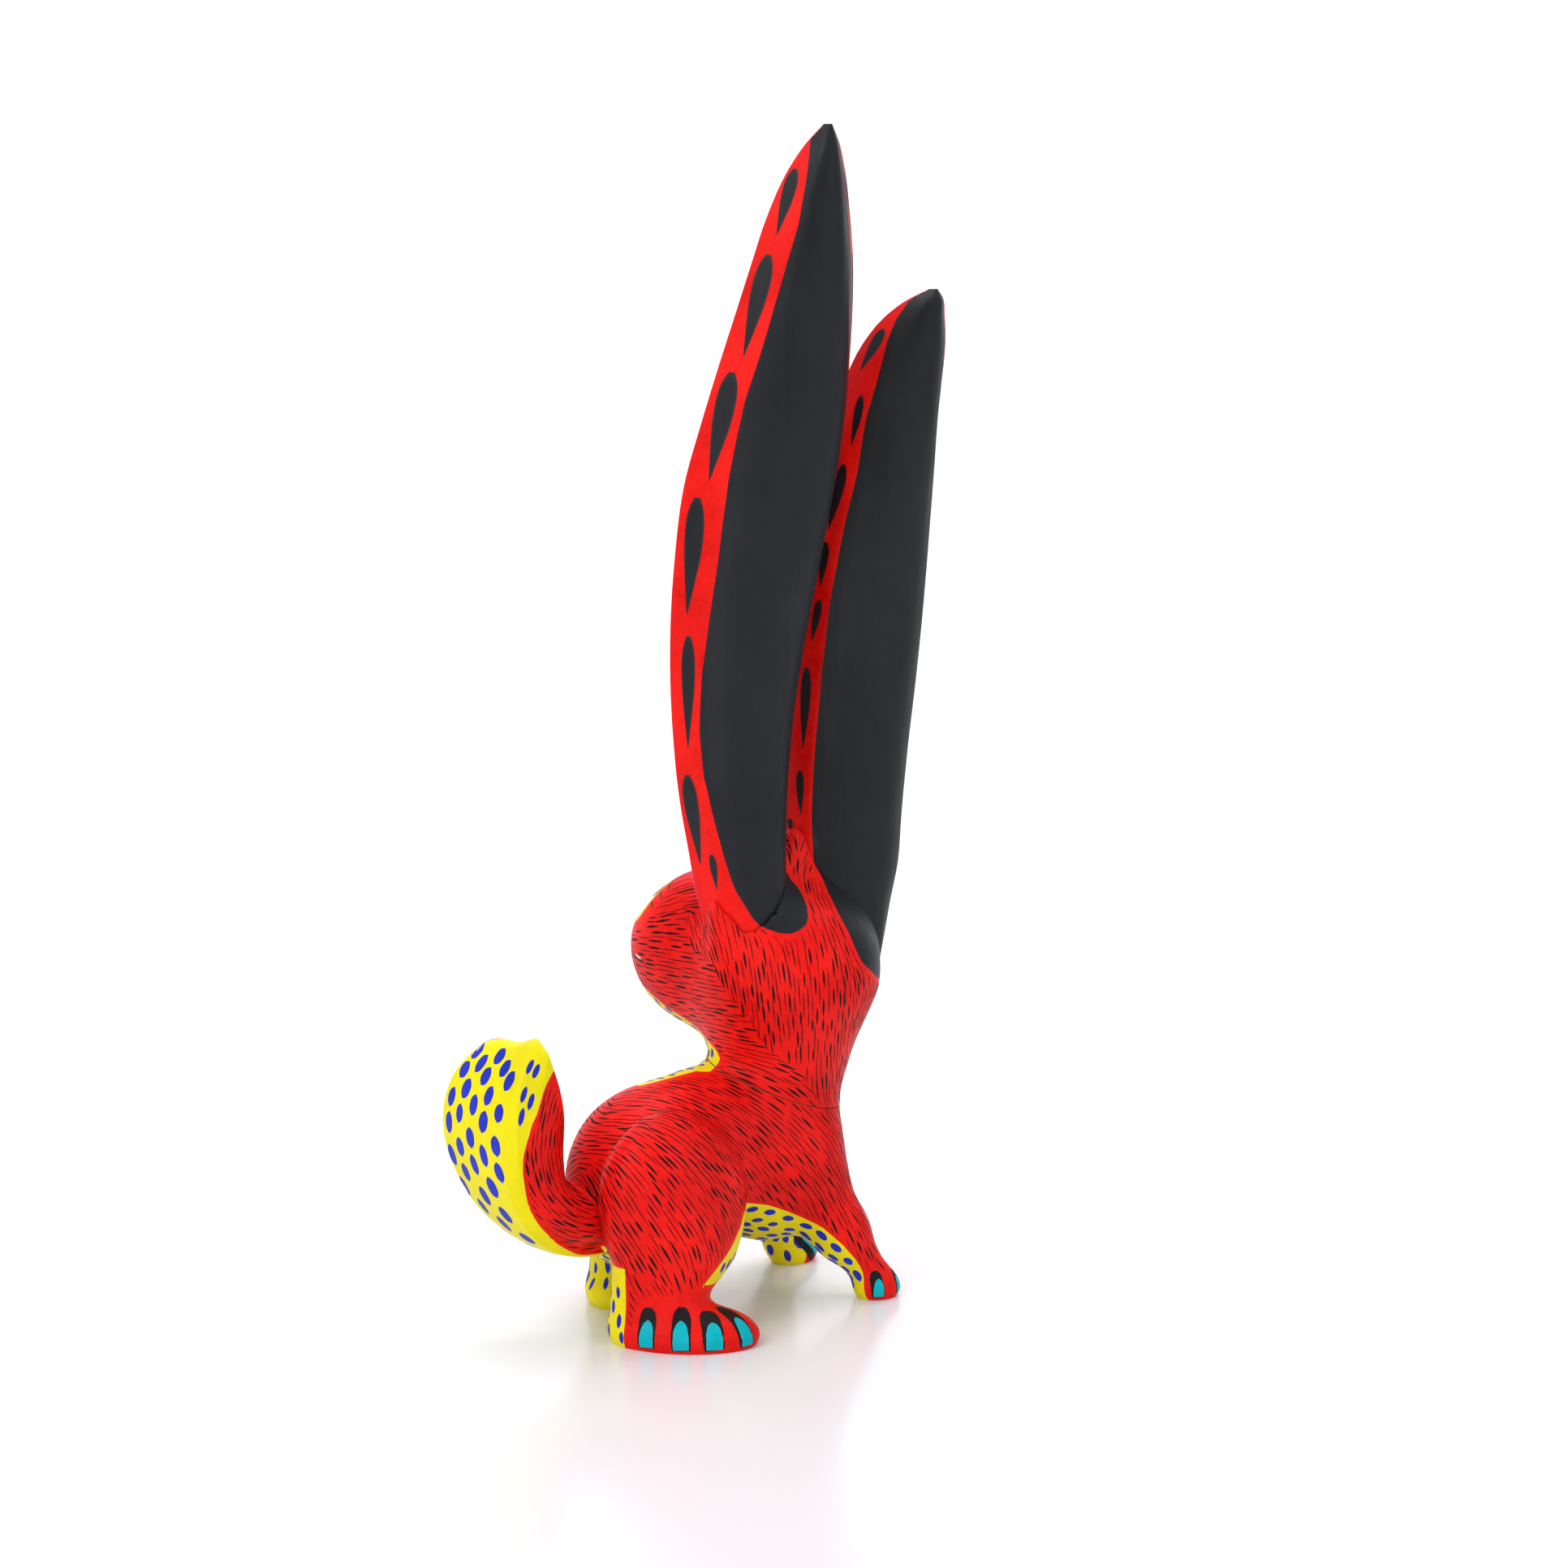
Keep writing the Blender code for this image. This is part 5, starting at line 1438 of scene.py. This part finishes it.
# black teardrops down the ears' red rims, on both edges of each ear
NEAR_DROPS = (((-9.2, -0.9, 384.6), (-11.5, 0.1, 373.9), (-13.7, 0.5, 363.2), 2.3), ((-15.6, -0.1, 357.0), (-18.0, 0.5, 340.6), (-20.0, 1.4, 324.3), 3.1),
              ((-22.0, -0.6, 319.0), (-23.4, 0.7, 301.5), (-24.2, 1.8, 284.0), 3.7), ((-25.9, -0.8, 278.2), (-24.7, 0.1, 259.0), (-23.5, 0.0, 239.6), 3.6),
              ((-22.3, 1.0, 232.4), (-20.6, 1.2, 213.6), (-19.1, 0.2, 194.6), 2.8), ((-18.7, -1.0, 185.4), (-17.1, -0.6, 170.2), (-15.5, -1.0, 154.8), 3.3),
              ((-14.1, 4.8, 159.0), (-13.5, 4.8, 153.0), (-13.0, 4.8, 147.0), 1.7))
FAR_DROPS = (((-12.0, -0.6, 330.8), (-14.3, -0.2, 324.0), (-16.4, -0.8, 317.1), 1.9), ((-15.5, 2.4, 308.9), (-16.0, 3.2, 300.5), (-16.7, 3.3, 292.2), 1.6),
             ((-17.6, 2.0, 286.0), (-18.6, 2.0, 275.0), (-19.6, 2.0, 264.0), 2.2), ((-19.9, 2.2, 260.0), (-20.2, 2.6, 252.0), (-20.6, 3.0, 245.0), 1.8),
             ((-20.5, 3.5, 240.7), (-20.9, 3.1, 233.7), (-21.3, 2.5, 226.6), 1.7), ((-21.7, 1.7, 217.7), (-21.2, 3.0, 203.7), (-20.7, 4.3, 189.7), 2.1),
             ((-20.8, 3.6, 182.6), (-20.4, 4.1, 175.0), (-19.9, 4.5, 167.3), 1.6), ((-21.7, 0.1, 165.6), (-21.4, 0.4, 163.0), (-21.0, 0.6, 160.2), 1.1))
DROP = [0.30, 0.74, 0.93, 1.0, 1.0, 0.96, 0.89, 0.78, 0.64, 0.50, 0.35, 0.20, 0.05]
for name, ear, drops in (("left_ear", LEFT_EAR, NEAR_DROPS), ("right_ear", RIGHT_EAR, FAR_DROPS)):
    coat = Coat()
    for mirror in (1, -1):
        for top_, mid_, low_, half in drops:
            if mirror < 0 and low_[2] < 150:
                continue
            line = [ear_point(ear, s, h, z) for s, h, z in (top_, mid_, low_)]
            if mirror < 0:
                # the flank turned away keeps a narrower red band, so its drops sit on the rim
                line, half = [], half * 0.5
                for s, h, z in (top_, mid_, low_):
                    size_ = ear_place(ear_point(ear, 0.0, 0.0, z)[None], ear)
                    line.append(ear_point(ear, 0.99 * size_[3][0], -0.14 * size_[4][0], z))
            patch(coat, ear_trees[name], None, [half * v for v in DROP], 0.07, wide=7, rows=17, path=line)
    coat.make(name + "_teardrops", black_paint, name, "black_paint")


# ------------------------------------------------------------ face
def on_head(f, l, z):
    return HEAD + f * FACE + l * CHEEK + z * UP


whites, pupils, outlines, lashes = Coat(), Coat(), Coat(), Coat()
for side in (1.0, -1.0):
    a, b = on_head(29.6, side * 6.6, 140.4), on_head(38.6, side * 15.0, 126.0)
    (a, b), normals_, _ = nearest(head_tree, np.array([a, b]))
    axis_ = unit(b - a)
    m = unit(normals_.mean(0))
    inward = np.cross(axis_, m)
    inward *= 1.0 if inward @ CHEEK * side < 0 else -1.0
    centre = (a + b) / 2 + inward * 1.5 - axis_ * 1.5
    ALMOND = [0.03, 0.46, 0.74, 0.92, 1.0, 1.0, 0.92, 0.74, 0.46, 0.03]
    patch(whites, head_tree, None, [3.7 * v for v in ALMOND], 0.07, wide=9, rows=19, path=[centre - axis_ * 9.8, centre, centre + axis_ * 9.8])
    angles = np.linspace(0, 2 * math.pi, 49)
    loop = [centre + axis_ * 9.9 * math.cos(t) + inward * 3.9 * np.sign(math.sin(t)) * abs(math.sin(t)) ** 1.25 for t in angles]
    patch(outlines, head_tree, None, [0.62] * 49, 0.12, wide=3, rows=49, path=loop)
    gaze = centre - axis_ * 2.6
    for radius, rows_ in ((3.1, 13),):
        ring = [radius * math.sqrt(max(0.0, 1 - x * x)) + 0.02 for x in np.linspace(-1, 1, rows_)]
        patch(pupils, head_tree, None, ring, 0.16, wide=9, rows=rows_, path=[gaze - axis_ * radius, gaze, gaze + axis_ * radius])
    for shift, reach in ((-3.0, 4.4), (1.5, 4.0), (-7.0, 4.2)):
        root = centre + axis_ * shift - inward * 5.0
        patch(lashes, head_tree, None, [0.42, 0.36, 0.26, 0.10], 0.06, wide=3, rows=7, path=[root, root - inward * reach * 0.9 + axis_ * reach * 0.3])
# mouth and nose
mouth = [on_head(f, l, z) for f, l, z in ((33.0, 24.5, 113.4), (40.0, 21.5, 114.4), (45.5, 14.5, 115.0), (48.6, 7.0, 114.0), (49.6, 0.0, 112.6))]
mirror_mouth = [on_head(f, -l, z) for f, l, z in ((48.6, 7.0, 114.0), (45.5, 14.5, 115.0), (40.0, 21.5, 114.4), (33.0, 24.5, 113.4))]
patch(lashes, head_tree, None, [0.20, 0.45, 0.5, 0.5, 0.5, 0.45, 0.20], 0.06, wide=3, rows=41, path=mouth + mirror_mouth)
for side in (1.0, -1.0):
    patch(whites, head_tree, None, [0.10, 0.34, 0.34, 0.10], 0.08, wide=3, rows=13, path=[on_head(35.0, side * 24.2, 114.9), on_head(39.5, side * 22.0, 115.6)])
patch(lashes, head_tree, None, [0.8, 2.0, 3.0, 3.6, 3.6, 2.6, 0.6], 0.09, wide=9, rows=13, path=[on_head(50.0, 0.0, 117.0), on_head(49.0, 0.0, 121.0), on_head(46.5, 0.0, 125.0)])
patch(lashes, head_tree, None, [0.5, 0.5], 0.07, wide=3, rows=5, path=[on_head(50.0, 0.0, 117.4), on_head(49.6, 0.0, 112.6)])
whites.make("eye_whites", white_paint, "figure", "red_paint")
outlines.make("eye_outlines", orange_paint, "figure", "red_paint")
pupils.make("eye_pupils", claw_black, "figure", "red_paint")
lashes.make("face_lines", claw_black, "figure", "red_paint")


# ------------------------------------------------------------ floor, light and camera
def sweep():
    profile = [(-1.6, 0.0), (0.7, 0.0)]
    profile += [(0.7 + 0.7 * math.sin(t), 0.7 - 0.7 * math.cos(t)) for t in np.linspace(0.08, math.pi / 2, 14)]
    profile += [(1.4, 2.6)]
    verts, faces = [], []
    for d, z in profile:
        for s in (-2.6, 2.6):
            verts.append((0.6 * d + 0.8 * s, 0.8 * d - 0.6 * s, z))
    for i in range(len(profile) - 1):
        faces.append((2 * i, 2 * i + 1, 2 * i + 3, 2 * i + 2))
    mesh = bpy.data.meshes.new("studio_sweep")
    mesh.from_pydata(verts, [], faces)
    mesh.shade_smooth()
    obj = bpy.data.objects.new("studio_sweep", mesh)
    bpy.context.scene.collection.objects.link(obj)
    m = bpy.data.materials.new("pale_paper")
    m.use_nodes = True
    t = m.node_tree
    shader = t.nodes["Principled BSDF"]
    noise = t.nodes.new("ShaderNodeTexNoise")
    noise.inputs["Scale"].default_value = 3.0
    ramp = t.nodes.new("ShaderNodeValToRGB")
    ramp.color_ramp.elements[0].color = (0.80, 0.815, 0.835, 1)
    ramp.color_ramp.elements[1].color = (0.83, 0.845, 0.865, 1)
    t.links.new(noise.outputs["Fac"], ramp.inputs["Fac"])
    t.links.new(ramp.outputs["Color"], shader.inputs["Base Color"])
    shader.inputs["Roughness"].default_value = 0.22
    mesh.materials.append(m)


sweep()


def softbox(name, place, aim, size, watts, colour=(1, 1, 1)):
    data = bpy.data.lights.new(name, "AREA")
    data.shape = "RECTANGLE"
    data.size, data.size_y = size
    data.energy = watts
    data.color = colour
    obj = bpy.data.objects.new(name, data)
    obj.location = place
    obj.rotation_euler = (Vector(aim) - Vector(place)).to_track_quat("-Z", "Y").to_euler()
    bpy.context.scene.collection.objects.link(obj)


def at_view(across, depth, z):
    p = across * ACROSS + depth * DEPTH
    return (float(p[0]), float(p[1]), z)


softbox("key", at_view(-1.0, -0.9, 1.35), (0, 0, 0.16), (1.0, 1.0), 14.0)
softbox("fill", at_view(1.3, -0.6, 0.7), (0, 0, 0.16), (1.0, 1.2), 4.5, (0.96, 0.98, 1.0))
softbox("top", at_view(0.1, 0.2, 1.7), (0, 0, 0.1), (1.4, 1.4), 9.5)
softbox("low", at_view(-0.25, -1.1, 0.22), (0, 0, 0.06), (1.2, 0.3), 2.2)
softbox("backdrop", at_view(0.0, 0.55, 1.6), at_view(0, 1.4, 0.7), (1.8, 0.6), 16.0)
world = bpy.data.worlds.new("studio")
world.use_nodes = True
world.node_tree.nodes["Background"].inputs["Color"].default_value = (0.94, 0.96, 1.0, 1)
world.node_tree.nodes["Background"].inputs["Strength"].default_value = 0.46
bpy.context.scene.world = world
bpy.context.scene.view_settings.view_transform = "Standard"

lens = bpy.data.cameras.new("camera")
lens.sensor_width = 36.0
lens.lens = 94.1
lens.clip_start = 0.01
camera = bpy.data.objects.new("camera", lens)
camera.location = (-0.8026 + ORIGIN_SHIFT[0] * MM, -1.0976 + ORIGIN_SHIFT[1] * MM, 0.415)
camera.rotation_euler = (math.radians(80.17), 0.0, math.radians(-36.9))
bpy.context.scene.collection.objects.link(camera)
bpy.context.scene.camera = camera
